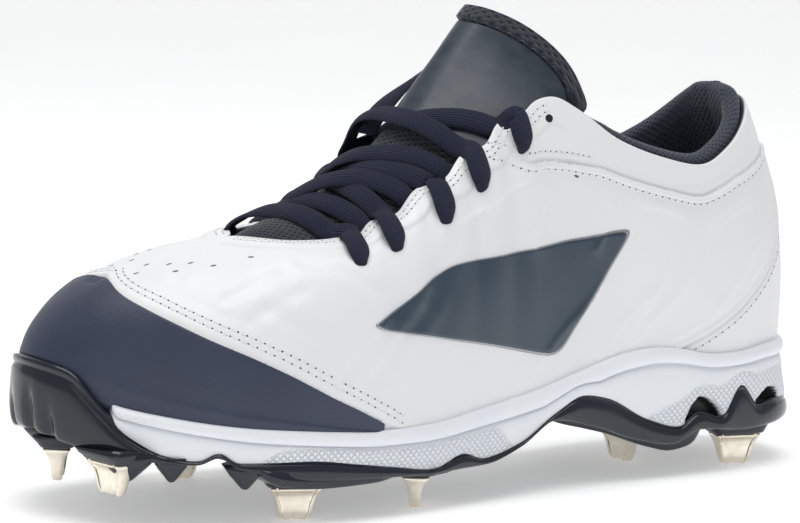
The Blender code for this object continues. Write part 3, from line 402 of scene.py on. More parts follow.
# Runners under the plate: side, place across, half width, places along the sole and how low each lies.
shank = (0.165, 0.170, 0.176, 0.19, 0.21, 0.24, 0.305, 0.34, 0.375, 0.385)
shank_low = (0.33, 0.27, 0.212, 0.175, 0.160, 0.20, 0.34, 0.40, 0.458, 0.49)
ball = (0.615, 0.64, 0.68, 0.72, 0.76, 0.79, 0.81)
ball_low = (0.30, 0.262, 0.242, 0.238, 0.25, 0.29, 0.37)
for side, across, half, places, lows in (
        (-1, 0.0235, 0.0032, shank, shank_low), (1, 0.0235, 0.0032, shank, shank_low),
        (-1, 0.0385, 0.0072, ball, ball_low), (1, 0.0400, 0.0068, ball, ball_low),
        (-1, 0.0350, 0.0075, (0.545, 0.56, 0.585, 0.605, 0.62), (0.29, 0.245, 0.236, 0.25, 0.30))):
    low_line = line(places, lows, STACK, (places[-1] - places[0]) * 0.012)
    rings = []
    for share in np.linspace(places[0], places[-1], 60):
        high = float(under(share)) + 0.0012
        low = min(float(low_line(share)), high - 0.0002)
        narrow = half * (0.35 + 0.65 * min(1.0, (high - low) / 0.003))
        ring = ((-narrow, high), (-narrow + 0.0002, low + 0.0012), (-narrow + 0.0008, low + 0.0003),
                (-narrow * 0.5, low), (narrow * 0.5, low), (narrow - 0.0008, low + 0.0003),
                (narrow - 0.0002, low + 0.0012), (narrow, high))
        rings.append([(share * LENGTH, side * across + wide, z) for wide, z in ring])
    ends = [[tuple(np.mean(rings[k], axis=0))] * 8 for k in (0, -1)]
    moulded.append(np.array([ends[0]] + rings + [ends[1]]))

# Ribs: low bars across the forefoot.
for share in (0.655, 0.690, 0.725, 0.760, 0.835, 0.868):
    low = under(share) - 0.0020
    moulded.append(block(share * LENGTH, centre(share), 0.0,
                         ((low, 0, 0, 6), (low, 0.0012, BALL * 0.115, 7),
                          (low + 0.0004, 0.0016, BALL * 0.119, 7),
                          (low + 0.003, 0.0024, BALL * 0.125, 7), (low + 0.003, 0, 0, 6))))

# The plate's section, from its bed up its inner wall, over its edge, down its face and back underneath.
plate_rows = [spine_row(sole_turns, lambda s: under(s) + plate_thickness),
              sole_row(sole_turns, lambda s: rim(s) + 0.0014,
                       lambda s: np.minimum(under(s) + plate_thickness, joint(s))),
              sole_row(sole_turns, rim, lambda s: joint(s) - 0.0004),
              sole_row(sole_turns, lambda s: rim(s) - 0.0004, joint)]
for down, inward in ((0.0, 0.0016), (0.02, 0.0011), (0.05, 0.0009), (0.08, 0.0010), (0.105, 0.0013),
                     (0.13, 0.0013), (0.16, 0.0008), (0.20, 0.0005), (0.30, 0.0003), (0.42, 0.0001),
                     (0.56, 0.0), (0.68, 0.0), (0.80, 0.0002), (0.90, 0.0006), (0.96, 0.0011), (1.0, 0.0018)):
    plate_rows.append(sole_row(sole_turns, lambda s, v=inward: v + 0 * s,
                               lambda s, v=down: joint(s) + (base(s) - joint(s)) * v))
plate_rows += [sole_row(sole_turns, lambda s: rim(s) + 0.0010, lambda s: base(s) - 0.0001),
               sole_row(sole_turns, lambda s: rim(s) + 0.0022, lambda s: base(s) * 0.7 + under(s) * 0.3),
               sole_row(sole_turns, lambda s: rim(s) + 0.0034, under),
               sole_row(sole_turns, lambda s: rim(s) + 0.0080, under),
               spine_row(sole_turns, under)]

nylon = Finish("glossy navy nylon", (0.012, 0.016, 0.025), 0.20, Specular_IOR_Level=0.50)
where = nylon.place()
scuffs = nylon.noise(where, 140.0, 6.0, 0.7)
nylon.link(nylon.spread(scuffs, 0.40, 0.75, 0.10, 0.26), "Roughness")
grain = nylon.noise(where, 2600.0, 2.0)
nylon.link(nylon.bump(grain, 0.00004, 0.35, nylon.bump(scuffs, 0.0002, 0.12)), "Normal")
plate_grid = np.array(plate_rows)

# Clefts pressed into the bumper from below, deeper towards its foot.
for turn, side, first in ((0.962, -1, 13), (0.988, -1, 12), (0.975, 1, 13)):
    k = np.arange(len(sole_turns))
    k = k if side < 0 else -k % plate_grid.shape[1]
    _, _, nx, ny = sole_edge(sole_turns, side)
    for row in range(first, 21):
        dent = 0.0022 * ease((row - first) / 4) * np.exp(-((sole_turns - turn) / 0.0055) ** 2)
        plate_grid[row, k, 0] -= nx * dent
        plate_grid[row, k, 1] -= ny * dent
surface("outsole_plate", plate_grid, nylon.material, ["outsole"], extras=moulded)

# Spikes: nine blades stamped from steel, with a flange turned out along each edge, plated a warm silver.
# Each is riveted up into its pod before the midsole is cemented on.
steel = Finish("champagne steel", (0.74, 0.66, 0.53), 0.20, Metallic=1.0, Specular_IOR_Level=0.5)
where = steel.place()
drawn = steel.noise(steel.place(1.0, (300.0, 300.0, 4000.0)), 1.0, 2.0)
worn = steel.noise(where, 420.0, 5.0, 0.65)
steel.link(steel.mix(steel.spread(worn, 0.35, 0.75), (0.90, 0.84, 0.72), (0.76, 0.70, 0.60)), "Base Color")
steel.link(steel.spread(worn, 0.35, 0.7, 0.10, 0.26), "Roughness")
steel.link(steel.bump(drawn, 0.00003, 0.3), "Normal")


def blade_ring(z, half, web, flange):
    """I-shaped ring of a spike at one height: a thin web between two flanges, as closed outline."""
    turned = 0.0015
    corner = [(-half, -flange), (-half + turned, -flange), (-half + turned, -web), (half - turned, -web),
              (half - turned, -flange), (half, -flange), (half, flange), (half - turned, flange),
              (half - turned, web), (-half + turned, web), (-half + turned, flange), (-half, flange)]
    corner = np.array(corner)
    following = np.roll(corner, -1, axis=0)
    share = np.linspace(0, 1, 5)[:-1, None, None]
    ring = (corner + (following - corner) * share).transpose(1, 0, 2).reshape(-1, 2)
    for _ in range(2):
        ring = (np.roll(ring, 1, axis=0) + 2 * ring + np.roll(ring, -1, axis=0)) / 4
    return np.column_stack([ring, np.full(len(ring), z)])


for k in range(len(spike_along)):
    x, y, angle = spike_along[k] * LENGTH, spike_across[k] * BALL, math.radians(spike_angle[k])
    tip, top = spike_lift[k], pod_foot + spike_lift[k] - 0.0002
    drop = top - tip
    rings = [blade_ring(top, 0.0001, 0.0, 0.0001)]
    for down, half, web, flange in ((0.0, 0.50, 0.9, 0.0045), (0.10, 0.495, 0.9, 0.0041),
                                    (0.16, 0.470, 0.45, 0.0034), (0.30, 0.430, 0.30, 0.0027),
                                    (0.5, 0.385, 0.28, 0.0022), (0.75, 0.352, 0.26, 0.0019),
                                    (0.95, 0.305, 0.24, 0.0016), (0.985, 0.297, 0.20, 0.0014),
                                    (1.0, 0.285, 0.14, 0.0011)):
        rings.append(blade_ring(top - drop * down, blade_top * half, 0.0045 * web, flange))
    rings.append(blade_ring(tip, 0.0001, 0.0, 0.0001))
    local = np.array(rings)
    grid = turned_about(x, y, angle, *np.moveaxis(local, -1, 0))
    surface(f"steel_spike_{k + 1}", grid, steel.material, [f"spike_{k + 1}"])

# Midsole: white foam moulded in one block, with a rounded ledge round its top and knurled side faces.
# The plate's edge wraps its foot and the upper is cemented into the cup in its top.
ledge = line((0.00, 0.09, 0.13, 0.175, 0.22, 0.26, 0.30, 0.36, 0.43, 0.51, 0.60, 0.66, 0.72, 0.77, 0.82,
              0.87, 0.91, 0.94, 0.965, 0.985, 1.00),
             (0.96, 0.945, 0.91, 0.915, 0.975, 1.00, 0.98, 0.885, 0.77, 0.69, 0.625, 0.625, 0.65, 0.675,
              0.70, 0.74, 0.785, 0.825, 0.89, 1.05, 1.10), STACK, 0.010)
bed = line((0.00, 0.20, 0.38, 0.52, 0.65, 0.76, 0.86, 0.94, 1.00),
           (0.84, 0.83, 0.76, 0.63, 0.56, 0.59, 0.64, 0.73, 0.84), STACK, 0.02)
roll_height = line((0.0, 0.10, 0.20, 0.28, 0.38, 0.50, 0.62, 0.75, 0.90, 1.0),
                   (0.0050, 0.0046, 0.0048, 0.0058, 0.0066, 0.0058, 0.0052, 0.0050, 0.0040, 0.0030),
                   1.0, 0.03)
knurl_top = line((0.0, 0.02, 0.08, 0.14, 0.19, 0.23, 0.27, 0.30, 0.42, 0.47, 0.50, 0.73, 0.785, 0.825, 1.0),
                 (0.12, 0.14, 0.22, 0.28, 0.38, 0.58, 0.92, 1.30, 1.30, 0.9, 0.10, 0.10, 0.30, 1.30, 1.30))
pockets = ((0.186, 0.030, 0.0058), (0.082, 0.024, 0.0052))


def hidden(share):
    """1 where the plate's edge reaches the ledge and hides the foam's side, else 0."""
    return 1 - ease(((ledge(share) - joint(share)) / STACK - 0.035) / 0.10)


def foam_side(turns, down):
    """Row of the foam's side: down runs 0 to 1 over the rounded ledge and 1 to 2 over the face below it."""
    def point(turn, side):
        x, y, nx, ny = sole_edge(turn, side)
        share = x / LENGTH
        top = ledge(share)
        foot = np.minimum(joint(share) - 0.0005, top - 0.0012)
        tall = np.minimum(roll_height(share), 0.55 * (top - foot))
        if down <= 1:
            z = top - tall * down
            inward = 0.0004 + 0.0019 * (1 - np.sqrt(np.clip(1 - (2 * down - 1) ** 2, 0, 1)))
        else:
            q = down - 1
            z = top - tall - (top - tall - foot) * q
            inward = 0.0012 + 0.0011 * np.exp(-q / 0.06) - 0.0006 * np.sin(math.pi * q)
        for place, half, high in pockets:
            reach = 1 - np.hypot((share - place) / half, (z - joint(share)) / high)
            inward = inward + 0.0050 * ease(reach * 3.5)
        heel = STACK * 0.06 * (1 - ease(share / 0.08)) * (1 - ease((down - 1.3) / 0.7))
        inward = inward + heel + (rim(share) + foam_seat - inward) * hidden(share)
        return np.stack([x - nx * inward, y - ny * inward, z], -1)
    return around(turns, point)


steps = np.concatenate([np.linspace(0.0, 1.0, 17),
                        1 + np.array([0.02, 0.05, 0.09, 0.14, 0.2, 0.27, 0.34, 0.41, 0.48, 0.55, 0.62,
                                      0.69, 0.76, 0.83, 0.9, 0.95, 1.0])])
foam_rows = [spine_row(sole_turns, bed), sole_row(sole_turns, lambda s: rim(s) + 0.0056, bed),
             sole_row(sole_turns, lambda s: rim(s) + 0.0036, ledge)]
foam_rows += [foam_side(sole_turns, d) for d in steps]
foam_rows += [sole_row(sole_turns, lambda s: rim(s) + foam_seat,
                       lambda s: np.minimum(joint(s), ledge(s) - 0.0012) - 0.0006),
              sole_row(sole_turns, lambda s: rim(s) + foam_seat,
                       lambda s: np.minimum(under(s) + plate_thickness + 0.0003, joint(s) - 0.0005)),
              spine_row(sole_turns, lambda s: under(s) + plate_thickness + 0.0003)]
foam_grid = np.array(foam_rows)
foam_share = foam_grid[..., 0] / LENGTH
downs = np.concatenate([[0, 0, 0], steps, [2, 2, 2]])[:, None] + 0 * foam_share
body = np.clip(downs - 1, 0, 1)
knurl = ease((body - knurl_top(foam_share)) / 0.06) * (downs > 1.0) * (downs < 2.0) * (1 - hidden(foam_share))
# Mask of the two pockets: it keeps the knurl out of them and paints them near-black.
pocket_shade = np.zeros(foam_share.shape)
for place, half, high in pockets:
    reach = 1 - np.hypot((foam_share - place) / half, (foam_grid[..., 2] - joint(foam_share)) / high)
    pocket_shade = np.maximum(pocket_shade, ease(reach * 3.5) * (downs > 1) * (downs <= 2))
knurl = knurl * (1 - pocket_shade)
# Mask along the foot of the rounded ledge, where the foam is painted darker as painted shade.
crease_shade = np.exp(-((downs - 1.01) / 0.05) ** 2)
count = foam_grid.shape[1]
ring_way = np.concatenate([sole_turns, 2 - sole_turns[-2:0:-1], [2.0]]) * half_length * 1000
foam_uv = np.stack([np.broadcast_to(ring_way, (len(foam_rows), count + 1)),
                    np.concatenate([foam_grid[..., 2], foam_grid[:, :1, 2]], 1) * 1000], -1)

foam = Finish("white foam", (0.80, 0.83, 0.88), 0.48, Subsurface_Weight=0.08, Subsurface_Scale=0.002)
where = foam.place()
uv = foam.place(uv=True)
diamond = foam.calc("ABSOLUTE", foam.crossed(uv, 1.37, 1.37))
raised = foam.spread(diamond, 0.04, 0.40, smooth=True)
knurled = foam.calc("MULTIPLY", raised, foam.field("knurl"))
pores = foam.noise(where, 1500.0, 3.0, 0.6)
cloud = foam.noise(where, 60.0, 3.0)
tone = foam.mix(foam.spread(cloud, 0.3, 0.7), (0.83, 0.855, 0.90), (0.86, 0.88, 0.915))
# Painted shade: the grooves between the knurl's raised diamonds are painted a darker blue-grey.
groove_shade = foam.calc("MULTIPLY", foam.field("knurl"), foam.spread(diamond, 0.12, 0.02, smooth=True))
tone = foam.mix(groove_shade, tone, (0.60, 0.66, 0.76))
# Painted shade along the foot of the rounded ledge.
tone = foam.mix(foam.calc("MULTIPLY", foam.field("crease_shade"), 0.28), tone, (0.55, 0.60, 0.70))
# The pockets are painted near-black: painted shade of the hollows, together with the dark of the navy plate
# inside them.
tone = foam.mix(foam.spread(foam.field("pocket_shade"), 0.25, 0.6), tone, (0.012, 0.014, 0.018))
foam.link(tone, "Base Color")
foam.link(foam.bump(knurled, 0.00045, 0.9, foam.bump(pores, 0.00003, 0.3)), "Normal")
surface("foam_midsole", foam_grid, foam.material, ["midsole"], uv=foam_uv,
        fields={"knurl": knurl, "pocket_shade": pocket_shade, "crease_shade": crease_shade})

# Upper: one shell of white synthetic leather, moulded over the last, with the collar panel, eyestays and heel
# counter stitched on and ridges embossed in it. Its foot is lasted under and cemented to the midsole.
top_turns = (0.000, 0.040, 0.085, 0.135, 0.190, 0.245, 0.300, 0.350, 0.395, 0.435, 0.480, 0.525, 0.570,
             0.615, 0.670, 0.715, 0.755, 0.860, 0.930, 1.000)
top_along = line(top_turns, (0.076, 0.083, 0.107, 0.146, 0.194, 0.254, 0.316, 0.364, 0.402, 0.440, 0.485,
                             0.529, 0.577, 0.625, 0.684, 0.732, 0.765, 0.860, 0.915, 0.915), LENGTH, 0.006)
top_half = line(top_turns, (0.000, 0.115, 0.215, 0.275, 0.306, 0.311, 0.301, 0.281, 0.258, 0.250, 0.255,
                            0.255, 0.250, 0.240, 0.210, 0.145, 0.000, 0.000, 0.000, 0.000), BALL, 0.004)
top_up = line(top_turns, (1.040, 1.030, 0.975, 0.905, 0.861, 0.889, 0.943, 1.020, 1.061, 1.033, 0.963,
                          0.889, 0.820, 0.750, 0.701, 0.697, 0.694, 0.650, 0.595, 0.595), INSTEP, 0.008)
crest = line((0.64, 0.70, 0.76, 0.80, 0.84, 0.88, 0.92, 0.96, 1.00),
             (0.735, 0.715, 0.698, 0.682, 0.660, 0.630, 0.587, 0.530, 0.460), INSTEP, 0.012)
form_turns = (0.00, 0.08, 0.20, 0.35, 0.50, 0.65, 0.80, 0.90, 1.00)
form_dome = line(form_turns, (0.00, 0.05, 0.15, 0.35, 0.70, 1.00, 1.00, 1.00, 1.00), 1.0, 0.03)
form_full = line(form_turns, (2.2, 2.2, 2.2, 2.2, 2.1, 2.2, 2.5, 2.8, 2.8), 1.0, 0.03)
form_swell = line(form_turns, (0.060, 0.055, 0.035, 0.020, 0.030, 0.030, 0.020, 0.000, 0.000), BALL, 0.03)
form_inset = line(form_turns, (0.050, 0.045, 0.032, 0.032, 0.032, 0.032, 0.035, 0.045, 0.048), BALL, 0.02)
eyelet_turns = (0.650, 0.608, 0.550, 0.500, 0.443, 0.405)
eyelet_rises = (0.690, 0.680, 0.680, 0.725, 0.790, 0.885)
along = np.linspace(0, 1, 201)
landing_line = line(along, np.maximum(ledge(along), joint(along)), 1.0, 0.004)
upper_wall = 0.0022
throat_end = 0.755


def skin(turn, rise, side, scallops=1.0):
    """Outer skin of the last: each section mixes a quarter of a superellipse with a straight wall and swells.

    Scallops, 0 to 1, draws the top edge in and out between the eyelets.
    """
    turn, rise = np.broadcast_arrays(np.asarray(turn, float), np.asarray(rise, float))
    x, y, nx, ny = sole_edge(turn, side)
    inset = form_inset(turn)
    x, y = x - nx * inset, y - ny * inset
    z = landing_line(x / LENGTH) - 0.0007
    top_x = top_along(turn)
    dips, bumps = [scallops * sum(np.exp(-((turn - at) / width) ** 2) for at in places)
                   for width, places in ((0.0125, (0.640, 0.596, 0.540, 0.488, 0.436)),
                                         (0.0130, (0.618, 0.567, 0.512, 0.461)))]
    top_y = centre(top_x / LENGTH) + side * np.maximum(top_half(turn) + 0.0012 * dips - 0.0022 * bumps, 0)
    swing = np.clip(rise, 0, 1) * math.pi / 2
    dome, power = form_dome(turn), 2 / form_full(turn)
    inward = dome * (1 - np.cos(swing) ** power) + (1 - dome) * rise
    upward = dome * np.sin(swing) ** power + (1 - dome) * rise
    swell = form_swell(turn) * np.sin(2 * swing)
    px = x + (top_x - x) * inward + nx * swell
    py = y + (top_y - y) * inward + ny * swell
    closed = ease((turn - 0.70) / 0.055)
    top_z = (top_up(turn) - 0.0014 * dips) * (1 - closed) + crest(px / LENGTH) * closed
    return np.stack([px, py, z + (top_z - z) * upward], -1)


def skin_normal(turn, rise, side):
    """Outward normal of the skin, from its own differences."""
    step = 1.5e-3
    turn = np.asarray(turn, float)
    rise = np.clip(np.asarray(rise, float), 2 * step, 1 - 4 * step)
    along = skin(np.minimum(turn + step, 1), rise, side) - skin(np.maximum(turn - step, 0), rise, side)
    up = skin(turn, rise + step, side) - skin(turn, rise - step, side)
    normal = np.cross(along, up) * -side
    return normal / np.maximum(np.linalg.norm(normal, axis=-1, keepdims=True), 1e-12)


def path_on_skin(turns, rises, side, count=160):
    """Evenly spaced points of the skin along a smooth line through places given by turn and rise."""
    knots = np.linspace(0, 1, len(turns))
    fine = np.linspace(0, 1, 1200)
    t, r = line(knots, turns, 1.0, 0.02)(fine), line(knots, rises, 1.0, 0.02)(fine)
    points = skin(t, r, side)
    run = way_along(points)
    even = np.interp(np.linspace(0, run[-1], count), run, fine)
    t, r = np.interp(even, fine, t), np.interp(even, fine, r)
    return t, r, skin(t, r, side), run[-1]


def distance_to(points, path):
    """Shortest distance from each point to a dense path, worked out in slices."""
    flat = points.reshape(-1, 3)
    result = np.empty(len(flat))
    for start in range(0, len(flat), 6000):
        part = flat[start:start + 6000]
        gap = part[:, None, :] - path[None, :, :]
        result[start:start + 6000] = np.sqrt(np.einsum("ijk,ijk->ij", gap, gap).min(axis=1))
    return result.reshape(points.shape[:-1])


collar_seam = line((0.00, 0.05, 0.09, 0.13, 0.17, 0.205, 0.255, 0.31, 0.39, 0.45, 0.50, 1.00),
                   (0.815, 0.815, 0.825, 0.85, 0.855, 0.815, 0.80, 0.77, 0.685, 0.745, 0.965, 0.965),
                   1.0, 0.004)
counter_seam = line((0.0, 0.10, 0.20, 0.30, 0.40, 0.50, 0.60, 0.70, 0.82, 1.0),
                    (0.250, 0.214, 0.176, 0.138, 0.105, 0.080, 0.062, 0.050, 0.042, 0.04), 1.0, 0.02)
guard_edge = line((0.625, 0.652, 0.685, 0.725, 0.763, 0.805, 0.845, 0.878, 0.895, 0.905, 1.00),
                  (0.020, 0.060, 0.105, 0.169, 0.238, 0.325, 0.456, 0.631, 0.800, 1.000, 1.00), 1.0, 0.003)
collar_turns = np.array((0.0, 0.05, 0.10, 0.15, 0.18, 0.205, 0.25, 0.31, 0.36, 0.395, 0.43, 0.46, 0.485))
counter_rises = np.linspace(0.0, 0.80, 12)
seams = {
    "collar": (collar_turns, collar_seam(collar_turns)),
    "counter": (counter_seam(counter_rises), counter_rises),
    "guard": ((0.606, 0.625, 0.652, 0.685, 0.725, 0.763, 0.805, 0.845, 0.878, 0.893, 0.9030, 0.905),
              (-0.01, 0.020, 0.060, 0.105, 0.169, 0.238, 0.325, 0.456, 0.631, 0.770, 0.930, 1.0)),
}
ridges = (
    ((0.532, 0.49, 0.444), (0.62, 0.625, 0.63)), ((0.41, 0.424, 0.438), (0.58, 0.495, 0.42)),
    ((0.326, 0.34, 0.354), (0.595, 0.475, 0.385)), ((0.236, 0.26, 0.288, 0.332), (0.635, 0.405, 0.20, 0.025)),
    ((0.196, 0.218, 0.25, 0.306), (0.66, 0.495, 0.26, 0.04)), ((0.14, 0.168, 0.20), (0.48, 0.365, 0.235)),
    ((0.118, 0.154, 0.188), (0.70, 0.71, 0.675)), ((0.284, 0.256, 0.228), (0.67, 0.685, 0.675)),
    ((0.344, 0.372, 0.405, 0.444), (0.265, 0.185, 0.12, 0.03)),
    ((0.284, 0.316, 0.348), (0.245, 0.135, 0.025)))
troughs = (
    ((0.624, 0.652, 0.678), (0.33, 0.25, 0.15), 0.00022, 0.0022),
    ((0.734, 0.758, 0.786), (0.64, 0.58, 0.525), 0.0002, 0.002),
    ((0.712, 0.738, 0.764), (0.54, 0.47, 0.40), 0.0002, 0.0024),
    ((0.574, 0.606, 0.638), (0.38, 0.29, 0.17), 0.00026, 0.0028),
    ((0.706, 0.67, 0.632), (0.72, 0.66, 0.495), 0.00022, 0.0024),
    ((0.80, 0.82, 0.835), (0.93, 0.80, 0.66), 0.0002, 0.0026),
    ((0.69, 0.72, 0.745), (0.30, 0.36, 0.44), 0.00025, 0.003),
    ((0.54, 0.56, 0.575), (0.60, 0.50, 0.42), 0.0002, 0.003))


def relief(turn, rise, side, points):
    """How far the finished surface stands off the skin, in metres, and how deep in a seam it lies, 0 to 1,
    which the leather's colour darkens as grime and painted shade.
    """
    off = np.zeros(points.shape[:-1])
    deep = np.zeros(points.shape[:-1])
    for name, (ts, rs) in seams.items():
        gap = distance_to(points, path_on_skin(ts, rs, side, 260)[2])
        if name == "collar":
            signed = np.where(rise > collar_seam(turn), gap, -gap)
            near = 1 - ease((turn - 0.425) / 0.035)
            off += near * (0.0003 * ease(signed / 0.001) + 0.0010 * np.exp(-((signed + 0.0013) / 0.0011) ** 2)
                           - 0.0004 * np.exp(-((signed - 0.0003) / 0.0007) ** 2)
                           - 0.00025 * np.exp(-((signed - 0.0026) / 0.0009) ** 2))
            deep = np.maximum(deep, near * np.exp(-((signed - 0.0004) / 0.0006) ** 2))
        elif name == "counter":
            signed = np.where(turn < counter_seam(rise), gap, -gap)
            below = 1 - ease((rise - collar_seam(turn) + 0.03) / 0.03)
            off += below * (0.0008 * np.exp(-((signed + 0.0010) / 0.0010) ** 2)
                            - 0.0004 * np.exp(-((signed - 0.0005) / 0.0007) ** 2)
                            + 0.0003 * np.exp(-((signed + 0.0045) / 0.0016) ** 2))
            deep = np.maximum(deep, below * np.exp(-((signed - 0.0005) / 0.0006) ** 2))
        else:
            inside = (turn > 0.600) & (rise < guard_edge(turn)) & (turn > 0.625 - 0.02 * (1 - rise / 0.02))
            inside = inside | (turn >= 0.905)
            signed = np.where(inside, -gap, gap)
            off += 0.0010 * ease((signed + 0.0006) / 0.0010) * (1 - ease((signed - 0.0015) / 0.0085))
            off -= 0.0002 * np.exp(-((signed - 0.0031) / 0.0009) ** 2)
            deep = np.maximum(deep, 0.5 * np.exp(-((signed + 0.0002) / 0.0006) ** 2))
    for ts, rs in ridges:
        gap = distance_to(points, path_on_skin(ts, rs, side, 80)[2])
        off += 0.00050 * np.exp(-(gap / 0.0013) ** 2) + 0.00022 * np.exp(-(gap / 0.0042) ** 2)
    for ts, rs, depth, width in troughs:
        gap = distance_to(points, path_on_skin(ts, rs, side, 60)[2])
        off += 1.4 * depth * (0.6 * np.exp(-((gap - 1.7 * width) / width) ** 2) - np.exp(-(gap / width) ** 2))
    edge = path_on_skin((0.36, 0.40, 0.44, 0.50, 0.56, 0.62, 0.68, 0.72, 0.745, 0.755),
                        (1.0,) * 10, side, 300)[2]
    gap = distance_to(points, edge)
    stay = ease((turn - 0.36) / 0.04) * (1 - ease((turn - 0.76) / 0.02))
    off += 0.0005 * stay * (1 - ease((gap - 0.0075) / 0.0014))
    deep = np.maximum(deep, 0.35 * stay * np.exp(-((gap - 0.0085) / 0.0006) ** 2))
    return off, deep


upper_turns = np.linspace(0, 1, 361)
upper_rises = np.concatenate([[0.0, 0.004, 0.010], np.linspace(0.018, 0.985, 102), [0.991, 0.996, 1.0]])
sides = {}
for side in (-1, 1):
    t, r = np.meshgrid(upper_turns, upper_rises)
    base_points = skin(t, r, side)
    normals = skin_normal(t, r, side)
    off, deep = relief(t, r, side, base_points)
    off = off * ease(r / 0.012 + 0.2)
    outer = base_points + normals * off[..., None]
    lip = []
    for share, up in ((0.15, 0.00035), (0.5, 0.00055), (0.85, 0.00035)):
        row = base_points[-1] + normals[-1] * (off[-1] * (1 - share) - upper_wall * share)[:, None]
        row[:, 2] += up
        lip.append(row)
    inner = [base_points[k] - normals[k] * upper_wall for k in (-1, -8, -20, -36, -52, -68, -84, -98, 0)]
    grid = np.concatenate([outer, np.array(lip), np.array(inner)])
    # Seam depth per point, which darkens the leather as grime and painted shade; the lip and inner rows get
    # none.
    seam_shade_and_grime_field = np.concatenate([deep, np.zeros((12, len(upper_turns)))])
    sides[side] = grid, seam_shade_and_grime_field
inner_rows = np.zeros((len(upper_rises) + 12, 2 * len(upper_turns) - 2))
inner_rows[len(upper_rises) + 1:] = 1.0
upper_grid = np.concatenate([sides[-1][0], sides[1][0][:, -2:0:-1]], axis=1)
seam_shade_and_grime_field = np.concatenate([sides[-1][1], sides[1][1][:, -2:0:-1]], axis=1)
rim_row = len(upper_rises) - 1
columns = upper_grid.shape[1]
shut_outer = np.nonzero(upper_turns >= throat_end)[0]
for i in shut_outer:
    j = (columns - i) % columns
    for row in range(rim_row, rim_row + 5):
        upper_grid[row, i] = upper_grid[row, j] = (upper_grid[row, i] + upper_grid[row, j]) / 2
shut = np.zeros(columns, bool)
shut[shut_outer] = True
shut[(columns - shut_outer) % columns] = True
between = lambda r, c: ~((r >= rim_row) & (r < rim_row + 4) & shut[c] & shut[(c + 1) % columns])

leather = Finish("white synthetic leather", (0.84, 0.84, 0.86), 0.42, Specular_IOR_Level=0.45)
where = leather.place()
cells = leather.add("TexVoronoi", {"Vector": where, "Scale": 900.0}).outputs["Distance"]
wrinkle = leather.noise(where, 90.0, 5.0, 0.6)
haze = leather.noise(where, 14.0, 2.0)
tone = leather.mix(leather.spread(haze, 0.3, 0.7), (0.825, 0.828, 0.85), (0.86, 0.86, 0.872))
# Grime and painted shade: the leather is painted darker in the seam troughs.
tone = leather.mix(leather.calc("MULTIPLY", leather.field("seam_shade_and_grime"), 0.40), tone, (0.42, 0.42, 0.46))
tone = leather.mix(leather.field("inside"), tone, (0.018, 0.024, 0.040))
leather.link(tone, "Base Color")
leather.gloss(wrinkle, 0.34, 0.50)
leather.link(leather.bump(cells, 0.00005, 0.25, leather.bump(wrinkle, 0.0006, 0.22)), "Normal")
upper_piece = surface("leather_upper", upper_grid, leather.material, ["upper"], tube=True,
                      keep=between, fields={"seam_shade_and_grime": seam_shade_and_grime_field, "inside": inner_rows})
upper_tree = BVHTree.FromPolygons([v.co for v in upper_piece.data.vertices],
                                  [tuple(p.vertices) for p in upper_piece.data.polygons])


def seated(points):
    """Nearest places on the upper to points of the frame, with the outward normals there."""
    found = [upper_tree.find_nearest(Vector(p)) for p in points]
    return np.array([f[0][:] for f in found]), np.array([f[1][:] for f in found])


stitch_share = 0.64


def stitch_row(ts, rs, side, aside, pitch=0.0030, start=0.0):
    """Middle, run and normal of each stitch in a row beside a line on the skin, aside to its left."""
    t, r, points, length = path_on_skin(ts, rs, side, 500)
    along = np.gradient(points, axis=0)
    along /= np.linalg.norm(along, axis=1)[:, None]
    left = np.cross(skin_normal(t, r, side), along)
    moved = placed(points + left * aside)
    run = way_along(moved)
    places = np.arange(run[-1] * start + pitch / 2, run[-1], pitch)
    middles = np.stack([np.interp(places, run, moved[:, k]) for k in range(3)], 1)
    ahead = np.stack([np.interp(places + pitch * 0.3, run, moved[:, k]) for k in range(3)], 1) - middles
    middles, normal = seated(middles)
    ahead -= normal * np.sum(ahead * normal, 1)[:, None]
    ahead /= np.maximum(np.linalg.norm(ahead, axis=1), 1e-9)[:, None]
    return middles, ahead, normal, pitch * stitch_share


def threads(name, rows, finish, width=0.00042, height=0.00034, shrink=1.0, sink=0.00008):
    """One mesh of small rounded bars: one for each middle, laid along ahead and sunk into the leather."""
    theta = np.linspace(0, math.pi, 6)
    phi = np.linspace(0, 2 * math.pi, 9)[:-1]
    ball = np.stack([-np.cos(theta)[:, None] + 0 * phi, np.sin(theta)[:, None] * np.cos(phi),
                     np.sin(theta)[:, None] * np.sin(phi)], -1)
    _, faces, _, _ = quads(ball)
    points, all_faces, start = [], [], 0
    for middles, ahead, normal, length in rows:
        aside = np.cross(normal, ahead)
        half = length / 2 * shrink
        middles = middles - normal * sink
        cloud = (middles[:, None, None] + ahead[:, None, None] * ball[None, ..., :1] * half
                 + aside[:, None, None] * ball[None, ..., 1:2] * width
                 + normal[:, None, None] * ball[None, ..., 2:] * height)
        count = len(middles)
        points.append(cloud.reshape(-1, 3))
        size = ball.shape[0] * ball.shape[1]
        offsets = start + np.arange(count) * size
        all_faces.append((faces[None] + offsets[:, None, None]).reshape(-1, 4))
        start += count * size
    mesh = bpy.data.meshes.new(name)
    mesh.from_pydata(np.concatenate(points), [], np.concatenate(all_faces).tolist())
    weld(mesh, 1e-7, 1e-8)
    return finished(name, mesh, finish)


